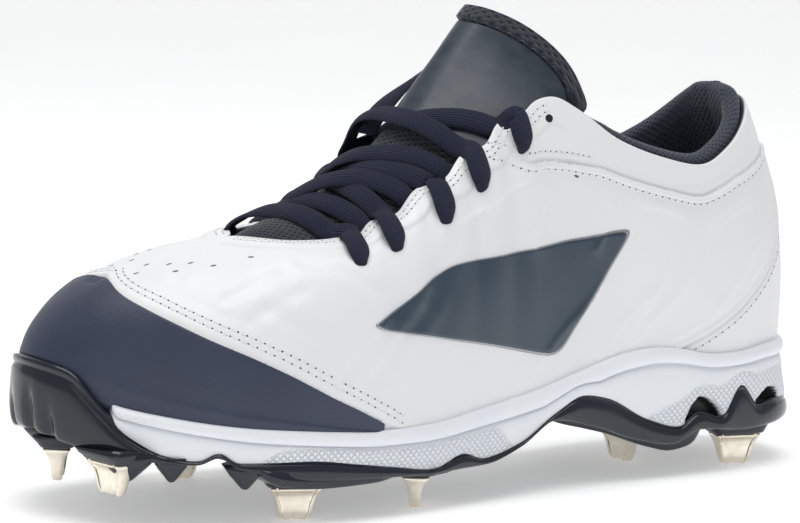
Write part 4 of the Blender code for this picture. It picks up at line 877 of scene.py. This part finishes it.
rows = []
eyestay = (0.40, 0.44, 0.50, 0.56, 0.62, 0.68, 0.72, 0.74)
for side in (-1, 1):
    rows.append(stitch_row(*seams["guard"], side, side * -0.0030))
    rows.append(stitch_row(*seams["guard"], side, side * -0.0052))
    rows.append(stitch_row(*seams["collar"], side, -side * -0.0026, 0.0028))
    rows.append(stitch_row(*seams["collar"], side, side * -0.0032, 0.0022, start=0.72))
    rows.append(stitch_row(*seams["counter"], side, side * -0.0030, 0.0030))
    rows.append(stitch_row(eyestay, (1.0,) * 8, side, side * 0.0022, 0.0026))
    rows.append(stitch_row(eyestay, (1.0,) * 8, side, side * 0.0044, 0.0026))
thread = Finish("white thread", (0.80, 0.80, 0.82), 0.6)
twist = thread.add("TexWave", {"Vector": thread.place(1.0, (1, 1, 1), (0, 0.6, 0.6)), "Scale": 900.0})
thread.link(thread.bump(twist.outputs["Fac"], 0.0001, 0.4), "Normal")
# Needle holes: near-black bars sunk between the stitches, painted shade of the holes.
hole_shade = Finish("needle hole shade", (0.10, 0.10, 0.12), 0.9)
hole_shade.gloss(hole_shade.noise(hole_shade.place(), 900.0), 0.8, 0.95)
threads("white_stitching", rows, thread.material)
hole_shade_rows = [(m + a * (l / stitch_share / 2), a, n, l) for m, a, n, l in rows]
threads("needle_hole_shade", hole_shade_rows, hole_shade.material, 0.00032, 0.00014, shrink=0.42, sink=0.00003)

# Air slits punched through the vamp, a slot beside the collar seam and the top eyelet, which stays empty.
# The slits, the slot and the empty eyelet are near-black marks laid on the leather: painted shade of the
# openings.
slit_turns = np.array((0.873, 0.860, 0.835, 0.830, 0.812, 0.790, 0.748, 0.374))
slit_rises = np.array((0.894, 0.950, 0.869, 0.788, 0.831, 0.756, 0.769, 0.644))
slit_shade_rows = []
for side in (-1, 1):
    begin, normal = seated(placed(skin(slit_turns, slit_rises, side)))
    ahead = placed(skin(slit_turns - 0.006, slit_rises, side)) - begin
    ahead -= normal * np.sum(ahead * normal, 1)[:, None]
    ahead /= np.linalg.norm(ahead, axis=1)[:, None]
    slit_shade_rows.append((begin, ahead, normal, 0.0021))
threads("air_slit_shade", slit_shade_rows, hole_shade.material, 0.00040, 0.00014, sink=0.0)
begin, normal = seated(placed(skin(np.array(eyelet_turns[5:]), np.array(eyelet_rises[5:]), -1)))
ahead = np.cross(normal, (0.0, 1.0, 0.0))
ahead /= np.linalg.norm(ahead, axis=1)[:, None]
# Painted shade of the open top eyelet.
eyelet_shade = Finish("open eyelet shade", (0.012, 0.011, 0.012), 0.9)
eyelet_shade.gloss(eyelet_shade.noise(eyelet_shade.place(), 900.0), 0.8, 0.95)
threads("empty_eyelet_shade", [(begin, ahead, normal, 0.0030)], eyelet_shade.material, 0.0014, 0.00018,
        sink=0.0)

# Side panel: a plain slanted navy film with a thin silver film showing all round it, one on each side.
# Both films are pressed into the leather with heat before the upper is sewn up.
panel_turn = ((0.6433, 0.5893, 0.5293, 0.4660, 0.4033), (0.6147, 0.5587, 0.4973, 0.4340, 0.3727),
              (0.5847, 0.5267, 0.4640, 0.4013, 0.3400), (0.5533, 0.4933, 0.4300, 0.3667, 0.3040))
panel_rise = ((0.354, 0.282, 0.214, 0.142, 0.074), (0.404, 0.340, 0.276, 0.216, 0.174),
              (0.444, 0.392, 0.336, 0.300, 0.310), (0.482, 0.436, 0.400, 0.418, 0.516))


def rounded_square(count, power):
    """Grid from -1 to 1, drawn in along its radii to a superellipse of a power, and its reach."""
    u, v = np.meshgrid(np.linspace(-1, 1, count[0]), np.linspace(-1, 1, count[1]))
    reach = np.maximum(np.abs(u), np.abs(v))
    norm = np.maximum((np.abs(u) ** power + np.abs(v) ** power) ** (1 / power), 1e-9)
    return u * reach / norm, v * reach / norm, reach


def film_grid(side, grow, lift, drop, count=(95, 63)):
    """Closed sheet over a rounded quadrilateral of the side, grown by a share and lifted off the leather."""
    u, v, reach = rounded_square(count, 14)
    u, v = u * (1 + grow * 0.75), v * (1 + grow * 1.25)
    powers = np.vander(v.ravel(), 4), np.vander(u.ravel(), 5)
    t, r = [np.sum(powers[0] @ np.linalg.inv(np.vander(np.linspace(-1, 1, 4))) @ np.array(table)
                   * (powers[1] @ np.linalg.inv(np.vander(np.linspace(-1, 1, 5)))), 1).reshape(u.shape)
            for table in (panel_turn, panel_rise)]
    laid = seated(placed(skin(t, r, side, 0.0)).reshape(-1, 3))[0].reshape(*t.shape, 3)
    laid = np.stack([middle[0] - laid[..., 0], laid[..., 1] + middle[1], laid[..., 2]], -1)
    thin = np.where(reach > 0.999, 0.6, 1.0)
    normal = skin_normal(t, r, side)
    top = laid + normal * (lift * thin)[..., None]
    bottom = laid + normal * drop
    return np.concatenate([top, bottom[:, ::-1]], axis=1).transpose(1, 0, 2)


film = Finish("slate navy film", (0.030, 0.052, 0.078), 0.30, Coat_Weight=0.25, Coat_Roughness=0.25)
where = film.place()
fine = film.noise(where, 1400.0, 3.0)
cloud = film.noise(where, 50.0, 3.0)
film.tint(cloud, (0.026, 0.047, 0.071), (0.034, 0.057, 0.085))
film.gloss(cloud, 0.26, 0.40)
film.link(film.bump(fine, 0.00004, 0.4), "Normal")
silver = Finish("silver film", (0.36, 0.37, 0.38), 0.36, Metallic=0.6)
brushed = silver.noise(silver.place(), 900.0, 4.0)
silver.gloss(brushed, 0.28, 0.42)
silver.link(silver.bump(brushed, 0.00004, 0.3), "Normal")
for side, where_it_is in ((-1, "outer"), (1, "inner")):
    surface(f"silver_edge_{where_it_is}", film_grid(side, 0.030, 0.00035, -0.0006), silver.material,
            closed=False, tube=True, caps=True)
    surface(f"side_panel_{where_it_is}", film_grid(side, 0.0, 0.00070, -0.0004), film.material,
            closed=False, tube=True, caps=True)

# Toe guard: a navy rubber cap moulded to the toe, bonded over the leather before lasting, with its back edge
# tucked under the raised lip of the upper.
guard_turns = np.concatenate([np.linspace(0.627, 0.905, 110), np.linspace(0.907, 1.0, 46)])


def guard_layer(share, off):
    """Row of the guard from its outer tip round the toe to its inner tip, at a share of its height."""
    def point(turn, side):
        rise = share * guard_edge(turn)
        return skin(turn, rise, side) + skin_normal(turn, rise, side) * off(turn, share)[..., None]
    return np.concatenate([point(guard_turns, -1), point(guard_turns[-2::-1], 1)])


def guard_off(turn, share):
    """Height of the guard's face off the skin, with one shallow moulded step above its foot."""
    swell = 0.00105 * ease((1.0 - share) / 0.05) * ease((turn - 0.62) / 0.02)
    return 0.00035 + swell + 0.00030 * np.exp(-((share - 0.10) / 0.05) ** 2)


shares = np.concatenate([[0.0, 0.01], np.linspace(0.025, 0.975, 84), [0.985, 0.993, 1.0]])
outer = [guard_layer(s, guard_off) for s in shares]
inner = [guard_layer(s, lambda t, v: -0.0008 + 0 * t) for s in (1.0, 0.6, 0.3, 0.0)]
guard_grid = np.array(outer + inner)
edge_row = len(shares) - 1
columns = guard_grid.shape[1]
tied = np.nonzero(guard_turns >= 0.904)[0]
for i in tied:
    j = columns - 1 - i
    for row in (edge_row, edge_row + 1):
        guard_grid[row, i] = guard_grid[row, j] = (guard_grid[row, i] + guard_grid[row, j]) / 2
shut = np.zeros(columns, bool)
shut[tied] = True
shut[columns - 1 - tied] = True
guard_keep = lambda r, c: ~((r == edge_row) & shut[c] & shut[np.minimum(c + 1, columns - 1)])
rubber = Finish("matte navy rubber", (0.030, 0.039, 0.075), 0.46, Specular_IOR_Level=0.5)
where = rubber.place()
grain = rubber.add("TexVoronoi", {"Vector": where, "Scale": 1150.0}).outputs["Distance"]
bloom = rubber.noise(where, 45.0, 4.0, 0.6)
rubber.tint(bloom, (0.027, 0.035, 0.068), (0.034, 0.044, 0.082))
rubber.gloss(bloom, 0.42, 0.52)
rubber.link(rubber.bump(grain, 0.00009, 0.55), "Normal")
surface("toe_guard_skin", guard_grid, rubber.material, ["toe_guard"], closed=False, tube=True,
        caps=True, keep=guard_keep)

# Insole: a soft foam sheet with a cloth top that lies loose in the midsole's cup.
cup = lambda s: rim(s) + foam_seat * 2 + 0.0009
sheet_low = lambda s: bed(s) + 0.0006
sheet_high = lambda s: bed(s) + 0.0042
insole_rows = [spine_row(sole_turns, sheet_high), sole_row(sole_turns, lambda s: cup(s) + 0.016, sheet_high),
               sole_row(sole_turns, lambda s: cup(s) + 0.004, sheet_high),
               sole_row(sole_turns, lambda s: cup(s) + 0.0012, lambda s: sheet_high(s) - 0.0002),
               sole_row(sole_turns, lambda s: cup(s) + 0.0003, lambda s: sheet_high(s) - 0.0009),
               sole_row(sole_turns, cup, lambda s: sheet_high(s) - 0.0018),
               sole_row(sole_turns, cup, sheet_low),
               spine_row(sole_turns, sheet_low)]
cloth = Finish("grey sock cloth", (0.055, 0.065, 0.095), 0.85)
weave = cloth.add("TexVoronoi", {"Vector": cloth.place(), "Scale": 950.0}).outputs["Distance"]
pressed = cloth.noise(cloth.place(), 30.0, 4.0)
cloth.tint(pressed, (0.045, 0.055, 0.085), (0.07, 0.08, 0.115))
cloth.link(cloth.bump(weave, 0.0002, 0.6, cloth.bump(pressed, 0.0008, 0.3)), "Normal")
surface("sock_liner", np.array(insole_rows), cloth.material, ["insole"])


def mesh_cloth(name, dark, light, pitch_u, pitch_v, depth):
    """Knitted air mesh: rows of round holes, each row half a pitch beside the last, over darker ground, with
    painted shade in the holes.
    """
    made = Finish(name, dark, 0.82, Sheen_Weight=0.25, Sheen_Roughness=0.5)
    hole_shade = made.crossed(made.place(uv=True), math.pi / pitch_u, math.pi / pitch_v)
    open_part = made.spread(made.calc("ABSOLUTE", hole_shade), 0.42, 0.80, smooth=True)
    yarn = made.noise(made.place(), 2600.0, 3.0)
    tone = made.mix(made.spread(yarn, 0.3, 0.7), dark, light)
    # The holes are painted near-black: painted shade, over the darker ground.
    made.link(made.mix(open_part, tone, tuple(c * 0.16 for c in dark)), "Base Color")
    closed_part = made.calc("SUBTRACT", 1.0, open_part)
    made.link(made.bump(closed_part, depth, 0.9, made.bump(yarn, 0.00008, 0.4)), "Normal")
    return made


# Collar lining: a foam roll in navy air mesh, turned over the collar's edge and sewn down inside.
# It stands a few millimetres above the leather and stops beside the tongue.
lining_turns = np.concatenate([np.linspace(0, 0.300, 170), np.linspace(0.302, 0.335, 24)])
pad_end = lambda t: 1 - ease((t - 0.305) / 0.030) * 0.55


def lining_row(rise, depth, height=None):
    """Row of the lining: depth inside the skin at a height on the section, or a height over the collar."""
    def point(turn, side):
        r = np.full(turn.shape, min(rise, 1.0))
        d = 0.0024 + depth * pad_end(turn)
        points = skin(turn, r, side) - skin_normal(turn, r, side) * d[..., None]
        if height is not None:
            points[..., 2] = skin(turn, 1.0, side)[..., 2] + height * pad_end(turn)
        return points
    return np.concatenate([point(lining_turns[::-1], 1), point(lining_turns[1:], -1)])


section = [(0.50, 0.0, None), (0.62, 0.0, None), (0.76, 0.0, None), (0.88, 0.0, None), (0.96, 0.0, None),
           (1.0, 0.0, -0.0006)]
for angle in np.linspace(180, 0, 19):
    c, s = math.cos(math.radians(angle)), math.sin(math.radians(angle))
    section.append((1.0, 0.0032 + 0.0032 * c, 0.0003 + 0.0033 * s ** 0.8))
pads = line((0.50, 0.60, 0.70, 0.80, 0.90, 0.97, 1.0),
            (0.0018, 0.0038, 0.0054, 0.0064, 0.0068, 0.0066, 0.0064), 1.0, 0.02)
for rise in np.linspace(0.985, 0.50, 30):
    section.append((rise, float(pads(rise)), None))
lining_grid = np.array([lining_row(*one) for one in section])
run = way_along(lining_grid[20]) * 1000
climb = way_along(lining_grid[:, 80]) * 1000
climb = np.concatenate([climb, [climb[-1] + 5]])
lining_uv = np.stack(np.meshgrid(run, climb), -1)
mesh_navy = mesh_cloth("navy collar mesh", (0.020, 0.030, 0.052), (0.036, 0.050, 0.082), 2.3, 1.9, 0.0006)
lining = surface("collar_roll", lining_grid, mesh_navy.material, ["collar_lining"],
                 closed=False, tube=True, caps=True, uv=lining_uv)

# Tongue: thin foam between two sheets of air mesh, sewn to the vamp at its root and free above.
# It bulges up between the eyestays, stands off the instep and ends in a padded roll.
tuck_turn = (0.775, 0.735, 0.675, 0.620, 0.570, 0.525, 0.475, 0.430, 0.390)
tuck_rise = (0.860, 0.880, 0.880, 0.870, 0.860, 0.860, 0.870, 0.880, 0.900)
crown_along = (0.775, 0.744, 0.690, 0.636, 0.588, 0.550, 0.521, 0.4975, 0.4750, 0.4560, 0.4420, 0.4320,
               0.4259)
crown_up = (0.670, 0.716, 0.757, 0.815, 0.888, 0.957, 1.023, 1.086, 1.150, 1.204, 1.243, 1.270, 1.284)
free_along = (0.376, 0.364, 0.355, 0.349)
free_half = (0.262, 0.266, 0.268, 0.266)
free_up = (0.985, 1.000, 1.015, 1.030)
spots = np.array((-1.0, -0.82, -0.62, -0.40, -0.18, 0.0, 0.18, 0.40, 0.62, 0.82, 1.0))
guides = np.zeros((13, 11, 3))
for i in range(13):
    lean = ease((i - 3) / 4)
    crown = np.array(((crown_along[i] + 0.011 * lean) * LENGTH, 0.005 * lean, crown_up[i] * INSTEP))
    for side in (-1, 1):
        if i < 9:
            t = np.array(tuck_turn[i])
            tucked, low = [skin(t, np.array(r), side) - skin_normal(t, np.array(r), side) * 0.0046
                           for r in (min(1.0, tuck_rise[i] + 0.10), tuck_rise[i])]
            ends = {0.82: tucked, 1.0: low}
            width, foot = 0.82, tucked
        else:
            j = i - 9
            foot = np.array((free_along[j] * LENGTH, side * free_half[j] * BALL, free_up[j] * INSTEP))
            ends, width = {}, 1.0
        for k, spot in enumerate(spots):
            if spot * side <= 0 and spot != 0:
                continue
            if abs(spot) in ends:
                guides[i, k] = ends[abs(spot)]
                continue
            q = abs(spot) / width
            # Across, the height falls away as a parabola and the reach to the toe a little sooner.
            fall = 1 - q ** (1.9 if i < 9 else 2.5)
            ahead = (1 - q ** 1.9) if i < 9 else (1 - q ** 2) ** 1.9
            guides[i, k, 0] = foot[0] + (crown[0] - foot[0]) * ahead
            guides[i, k, 1] = crown[1] + (foot[1] - crown[1]) * q
            guides[i, k, 2] = foot[2] + (crown[2] - foot[2]) * fall


def tongue_face(rows, across):
    """Outer face of the tongue: rows 0 at the root to 1 at the top, across -1 to 1."""
    knots = np.linspace(0, 1, 13)
    lines = np.array([[line(knots, guides[:, k, axis], 1.0, 0.020)(rows) for axis in range(3)]
                      for k in range(len(spots))])
    grid = np.zeros((len(rows), len(across), 3))
    for r in range(len(rows)):
        for axis in range(3):
            grid[r, :, axis] = line(spots, lines[:, axis, r], 1.0, 0.04)(across)
    return grid


def sheet_normals(grid):
    """Unit normals of a grid, pointing up."""
    normal = np.cross(np.gradient(grid, axis=0), np.gradient(grid, axis=1))
    normal /= np.maximum(np.linalg.norm(normal, axis=-1, keepdims=True), 1e-12)
    return normal if normal[normal.shape[0] // 2, normal.shape[1] // 2, 2] > 0 else -normal


def sheet(grid, top, bottom, edge):
    """Closed sheet over a grid, its face and back at heights along the normals, thinning over its edge."""
    normal = sheet_normals(grid)
    rows, columns = grid.shape[:2]
    i = np.minimum(np.arange(columns), np.arange(columns)[::-1]) / edge
    j = np.minimum(np.arange(rows), np.arange(rows)[::-1]) / edge
    near = np.minimum(i[None, :], j[:, None])
    thin = np.sqrt(np.clip(1 - (1 - np.clip(near, 0, 1)) ** 2, 0.001, 1))
    mid = (top + bottom) / 2
    face = grid + normal * (mid + (top - mid) * thin)[..., None]
    back = grid + normal * (mid + (bottom - mid) * thin)[..., None]
    return np.concatenate([face, back[:, ::-1]], axis=1).transpose(1, 0, 2)


tongue_rows, tongue_across = np.linspace(0, 1, 221), np.linspace(-1, 1, 131)
face_grid = tongue_face(tongue_rows, tongue_across)
grid_r = tongue_rows[:, None] + 0 * tongue_across
rolled = ease((grid_r - 0.845) / 0.02) * 0.0022
tongue_grid = sheet(face_grid, rolled, -0.0040 - 0.5 * rolled, 6)
length_way = way_along(face_grid[:, 65]) * 1000
width_way = way_along(face_grid[110]) * 1000
width_way = np.concatenate([width_way, 2 * width_way[-1] + 1 - width_way[::-1], [2 * width_way[-1] + 2]])
tongue_uv = np.stack(np.meshgrid(width_way, length_way, indexing="ij"), -1)
mesh_tongue = mesh_cloth("navy tongue mesh", (0.014, 0.020, 0.033), (0.027, 0.036, 0.056), 3.6, 2.3, 0.0010)
tongue = surface("tongue_pad", tongue_grid, mesh_tongue.material, ["tongue"],
                 closed=False, tube=True, caps=True, uv=tongue_uv)

# Tongue panel: a plain blue-grey film with rounded corners, welded over the free part of the tongue's face.
u, v, _ = rounded_square((110, 110), 12)
dense = tongue_face(np.linspace(0, 1, 401), np.linspace(-1, 1, 241))
fr = (0.662 + 0.186 * v) * 400
fa = (u * 0.925 + 1) / 2 * 240
ri, ai = np.minimum(fr.astype(int), 399), np.minimum(fa.astype(int), 239)
fr, fa = (fr - ri)[..., None], (fa - ai)[..., None]
film_face = (dense[ri, ai] * (1 - fr) * (1 - fa) + dense[ri + 1, ai] * fr * (1 - fa)
             + dense[ri, ai + 1] * (1 - fr) * fa + dense[ri + 1, ai + 1] * fr * fa)
glossy = Finish("slate film", (0.024, 0.036, 0.050), 0.36, Coat_Weight=0.12, Coat_Roughness=0.25)
where = glossy.place()
streak = glossy.noise(glossy.place(1.0, (220.0, 60.0, 220.0)), 1.0, 3.0)
fine = glossy.noise(where, 1800.0, 3.0)
glossy.tint(streak, (0.019, 0.031, 0.046), (0.029, 0.044, 0.062))
glossy.gloss(streak, 0.32, 0.46)
glossy.link(glossy.bump(fine, 0.00005, 0.5, glossy.bump(streak, 0.0004, 0.2)), "Normal")
surface("tongue_panel", sheet(film_face, 0 * u + 0.0008, 0 * u - 0.0008, 3), glossy.material,
        ["tongue_label"], closed=False, tube=True, caps=True)

# Laces: one flat woven polyester lace, crossed over the tongue through five pairs of eyelets.
# Each run dives into its eyelet or tucks under the eyestay, and the ends are hidden at the top pair.
lace_runs = (
    ("hole_shade", 0, ((196.0, -19.4, 87.6), (199.1, -12.7, 91.3), (202.5, -3.1, 93.5), (205.2, 6.0, 92.9),
                 (209.5, 11.5, 90.4), (214.8, 14.0, 86.4)), "tuck", 0.715),
    ("tuck", 0.632, ((186.5, -20.3, 90.8), (188.7, -15.9, 93.9), (192.3, -9.6, 96.3), (195.2, -2.7, 96.9),
                     (197.9, 3.0, 95.7), (200.5, 8.0, 93.2)), "hole_shade", 0),
    ("hole_shade", 1, ((179.8, -22.7, 94.0), (181.8, -17.4, 97.6), (183.7, -10.8, 100.5), (184.8, -2.9, 102.3),
                 (183.2, 4.0, 102.4), (181.4, 9.5, 102.1), (180.0, 15.5, 100.0)), "tuck", 0.600),
    ("tuck", 0.580, ((171.0, -22.0, 99.3), (173.3, -18.4, 101.6), (176.9, -13.9, 103.2), (182.3, -8.5, 104.2),
                     (187.5, -3.6, 103.2), (192.8, 1.2, 100.4), (197.0, 6.5, 96.6)), "hole_shade", 1),
    ("hole_shade", 2, ((162.2, -26.1, 101.7), (165.1, -22.2, 104.3), (169.0, -17.5, 105.9), (174.0, -11.1, 106.7),
                 (177.1, -4.6, 106.7), (177.0, 3.0, 106.5), (174.0, 11.0, 105.0)), "tuck", 0.545),
    ("tuck", 0.535, ((158.0, -21.8, 107.5), (160.7, -18.7, 109.6), (164.6, -14.2, 111.0),
                     (170.0, -7.7, 111.6), (175.3, -1.1, 110.8), (178.9, 5.9, 107.6), (181.0, 12.0, 103.0)),
     "hole_shade", 2),
    ("hole_shade", 4, ((136.3, -23.9, 119.8), (141.7, -19.6, 122.0), (148.0, -14.4, 123.0), (153.9, -8.8, 122.7),
                 (158.2, -2.4, 120.9), (158.5, 8.3, 118.2), (156.0, 15.0, 115.5)), "tuck", 0.490),
    ("hole_shade", 3, ((148.8, -23.5, 113.2), (155.4, -16.3, 118.9), (160.8, -5.2, 122.8), (162.8, 4.5, 123.2),
                 (165.2, 11.5, 121.6), (166.0, 15.5, 117.9), (166.0, 18.0, 113.6), (167.0, 20.5, 108.8)),
     "hole_shade", 3),
    ("free", 0, ((164.5, 11.0, 115.5), (160.9, 12.0, 120.6), (154.5, 13.5, 125.9), (146.2, 16.0, 130.4),
                 (137.5, 19.0, 133.6), (130.2, 21.5, 135.9), (124.0, 25.5, 134.0)), "hole_shade", 5),
)


def lace_end(kind, which, side):
    """Points that lead a lace, from its end outwards: into an eyelet, or under the eyestay's edge."""
    if kind == "free":
        return []
    turn, rise = (eyelet_turns[which], eyelet_rises[which]) if kind == "hole_shade" else (which, 1.0)
    t = np.array(turn)
    points = []
    places = ((0.0, -0.0026), (0.0, 0.0002), (0.2, 0.0019), (0.5, 0.0024), (0.8, 0.0024), (0.97, 0.0020))
    for up, off in places if kind == "hole_shade" else ((-0.13, -0.0050), (-0.02, -0.0040)):
        r = np.array(min(rise + up * (1 - rise), 1.0) if kind == "hole_shade" else rise + up)
        points.append((skin(t, r, side) + skin_normal(t, r, side) * off) * 1000)
    return points


def woven_run(near, near_which, table, far, far_which, count=150):
    """A flat lace: a rounded flat section swept along its path, with its face turned off the shoe."""
    knots = lace_end(near, near_which, -1) + [np.array(p) for p in table] + lace_end(far, far_which, 1)[::-1]
    knots = np.array(knots) * 0.001
    way = way_along(knots)
    q = np.linspace(0, 1, count)
    path = np.stack([line(way / way[-1], knots[:, k], 1.0, 0.016)(q) for k in range(3)], 1)
    tilt = np.clip(path[:, 1] / 0.022, -1.35, 1.35)
    face = np.stack([0.62 - 0.18 * tilt ** 2, 1.05 * tilt, 0.80 - 0.18 * tilt ** 2], 1)
    if near == "free":
        turned = (1 - ease(q / 0.8))[:, None]
        face = face * (1 - turned) + np.array((0.80, -0.45, 0.40)) * turned
    ahead = np.gradient(path, axis=0)
    ahead /= np.linalg.norm(ahead, axis=1)[:, None]
    wide = np.cross(ahead, face)
    wide /= np.linalg.norm(wide, axis=1)[:, None]
    for _ in range(6):
        wide[1:-1] = (wide[:-2] + 2 * wide[1:-1] + wide[2:]) / 4
        wide /= np.linalg.norm(wide, axis=1)[:, None]
    up = np.cross(wide, ahead)
    run = way_along(path) * 1000
    pinch = sum(np.exp(-(np.abs(run - at) / 3.2) ** 2) * (kind == "hole_shade")
                for at, kind in ((2.4, near), (run[-1] - 2.4, far)))
    narrow, thick = 1 - 0.42 * pinch, 1 + 0.45 * pinch
    theta = np.linspace(0, 2 * math.pi, 33)[:-1]
    across = np.sign(np.cos(theta)) * np.abs(np.cos(theta)) ** 0.8
    # The section is thickest just inside its edges and bends down at them.
    thin = np.sin(theta) * (0.80 + 0.20 * np.abs(across) ** 2)
    bend = -0.17 * across ** 2
    half_width, half_thick = 0.0037, 0.00092
    rise = thin[:, None] * thick[None] * half_thick + bend[:, None] * half_width * narrow[None]
    grid = (path[None] + wide[None] * (across[:, None] * narrow[None] * half_width)[..., None]
            + up[None] * rise[..., None])
    return grid, run


woven = Finish("navy woven lace", (0.020, 0.024, 0.046), 0.80, Sheen_Weight=0.06, Sheen_Roughness=0.5,
               Specular_IOR_Level=0.3)
rib = woven.crossed(woven.place(uv=True), 2 * math.pi / 1.10, 2 * math.pi / 1.30)
fuzz = woven.noise(woven.place(), 2400.0, 3.0)
yarns = woven.mix(woven.spread(rib, -0.5, 0.5), (0.007, 0.011, 0.030), (0.018, 0.026, 0.064))
woven.link(yarns, "Base Color")
woven.link(woven.bump(rib, 0.00035, 0.9, woven.bump(fuzz, 0.0001, 0.4)), "Normal")
all_points, all_faces, all_uv, start = [], [], [], 0
for one in lace_runs:
    grid, run = woven_run(*one)
    flat, faces, cells, turned = quads(placed(grid), closed=False, tube=True)
    rows, columns = grid.shape[:2]
    way_round = np.linspace(0, 17.6, rows + 1)
    r, c = cells.T
    corners = np.stack([np.stack([way_round[r + step_r], run[c + step_c]], -1)
                        for step_r, step_c in ((0, 0), (0, 1), (1, 1), (1, 0))], 1)
    corners = corners[:, ::-1] if turned else corners
    all_points.append(flat)
    all_faces += (faces + start).tolist()
    all_uv.append(corners.reshape(-1, 2))
    ends = np.arange(rows) * columns + start
    for ring, flip in ((ends, turned), (ends + columns - 1, not turned)):
        all_faces.append((ring[::-1] if flip else ring).tolist())
        all_uv.append(np.zeros((rows, 2)))
    start += rows * columns
lace_mesh = bpy.data.meshes.new("lace")
lace_mesh.from_pydata(np.concatenate(all_points), [], all_faces)
lace_mesh.uv_layers.new(name="cloth").data.foreach_set("uv", np.concatenate(all_uv).ravel())
finished("woven_lace", lace_mesh, woven.material, ["laces"])

# Stage: a pale floor that curves up behind the shoe, a white room, two wide softboxes and the camera.
floor_points = []
for depth, rise in ((-4.0, 0.0), (1.6, 0.0), (2.2, 0.06), (2.7, 0.30), (3.0, 0.8), (3.1, 1.5), (3.1, 4.0)):
    floor_points.append(((-5.0, depth, rise), (5.0, depth, rise)))
floor_grid = np.array(floor_points)
back = np.array((-math.sin(math.radians(34.4)), -math.cos(math.radians(34.4))))
aside = np.array((back[1], -back[0]))
turned_grid = np.empty_like(floor_grid)
turned_grid[..., :2] = floor_grid[..., :1] * aside + floor_grid[..., 1:2] * -back
turned_grid[..., 2] = floor_grid[..., 2]
flat, faces, _, _ = quads(turned_grid, closed=False)
floor_mesh = bpy.data.meshes.new("backdrop")
floor_mesh.from_pydata(flat, [], faces[:, ::-1].tolist())
floor_mesh.shade_smooth()
paper = Finish("white paper", (0.93, 0.93, 0.93), 0.6, Emission_Color=(1, 1, 1, 1), Emission_Strength=0.36)
paper.gloss(paper.noise(paper.place(), 8.0), 0.55, 0.7)
floor_mesh.materials.append(paper.material)
backdrop = bpy.data.objects.new("backdrop", floor_mesh)
bpy.context.scene.collection.objects.link(backdrop)

world = bpy.data.worlds.new("white room")
bpy.context.scene.world = world
world.use_nodes = True
world.node_tree.nodes["Background"].inputs["Color"].default_value = (0.97, 0.98, 1.0, 1)
world.node_tree.nodes["Background"].inputs["Strength"].default_value = 0.37


def softbox(name, place, aim, size, power):
    light = bpy.data.lights.new(name, "AREA")
    light.shape, light.size, light.size_y = "RECTANGLE", size[0], size[1]
    light.energy = power
    lamp = bpy.data.objects.new(name, light)
    lamp.location = place
    lamp.rotation_euler = (Vector(aim) - Vector(place)).to_track_quat("-Z", "Y").to_euler()
    bpy.context.scene.collection.objects.link(lamp)


bpy.context.scene.view_settings.view_transform = "Standard"
softbox("overhead", (-0.15, -0.10, 1.30), (0.0, 0.0, 0.05), (1.2, 0.9), 12.0)
softbox("front", (-1.30, -1.05, 0.75), (-0.02, 0.0, 0.06), (0.9, 0.7), 1.2)

# The lens and the middle of its view, in pixels of the picture.
picture_width, picture_height = 800, 523
focal_length, aim_column, aim_row = 3617, 425.9, 301.3
camera_data = bpy.data.cameras.new("camera")
camera = bpy.data.objects.new("camera", camera_data)
bpy.context.scene.collection.objects.link(camera)
side_angle, height_angle, roll = math.radians(34.4), math.radians(8.35), math.radians(1.63)
behind = Vector((-math.sin(side_angle) * math.cos(height_angle),
                 -math.cos(side_angle) * math.cos(height_angle), math.sin(height_angle)))
right = Vector((math.cos(side_angle), -math.sin(side_angle), 0.0))
above = behind.cross(right)
camera.location = Vector((0.0, 0.0, 0.060)) + behind * 1.1976
turned_right = right * math.cos(roll) + above * math.sin(roll)
turned_above = above * math.cos(roll) - right * math.sin(roll)
rotation = np.array((turned_right, turned_above, behind)).T
camera.rotation_euler = Matrix(rotation.tolist()).to_euler()
camera_data.sensor_width = 36.0
camera_data.lens = focal_length * 36 / picture_width
camera_data.shift_x = -(aim_column - picture_width / 2) / picture_width
camera_data.shift_y = (aim_row - picture_height / 2) / picture_width
camera_data.clip_start = 0.05
bpy.context.scene.camera = camera
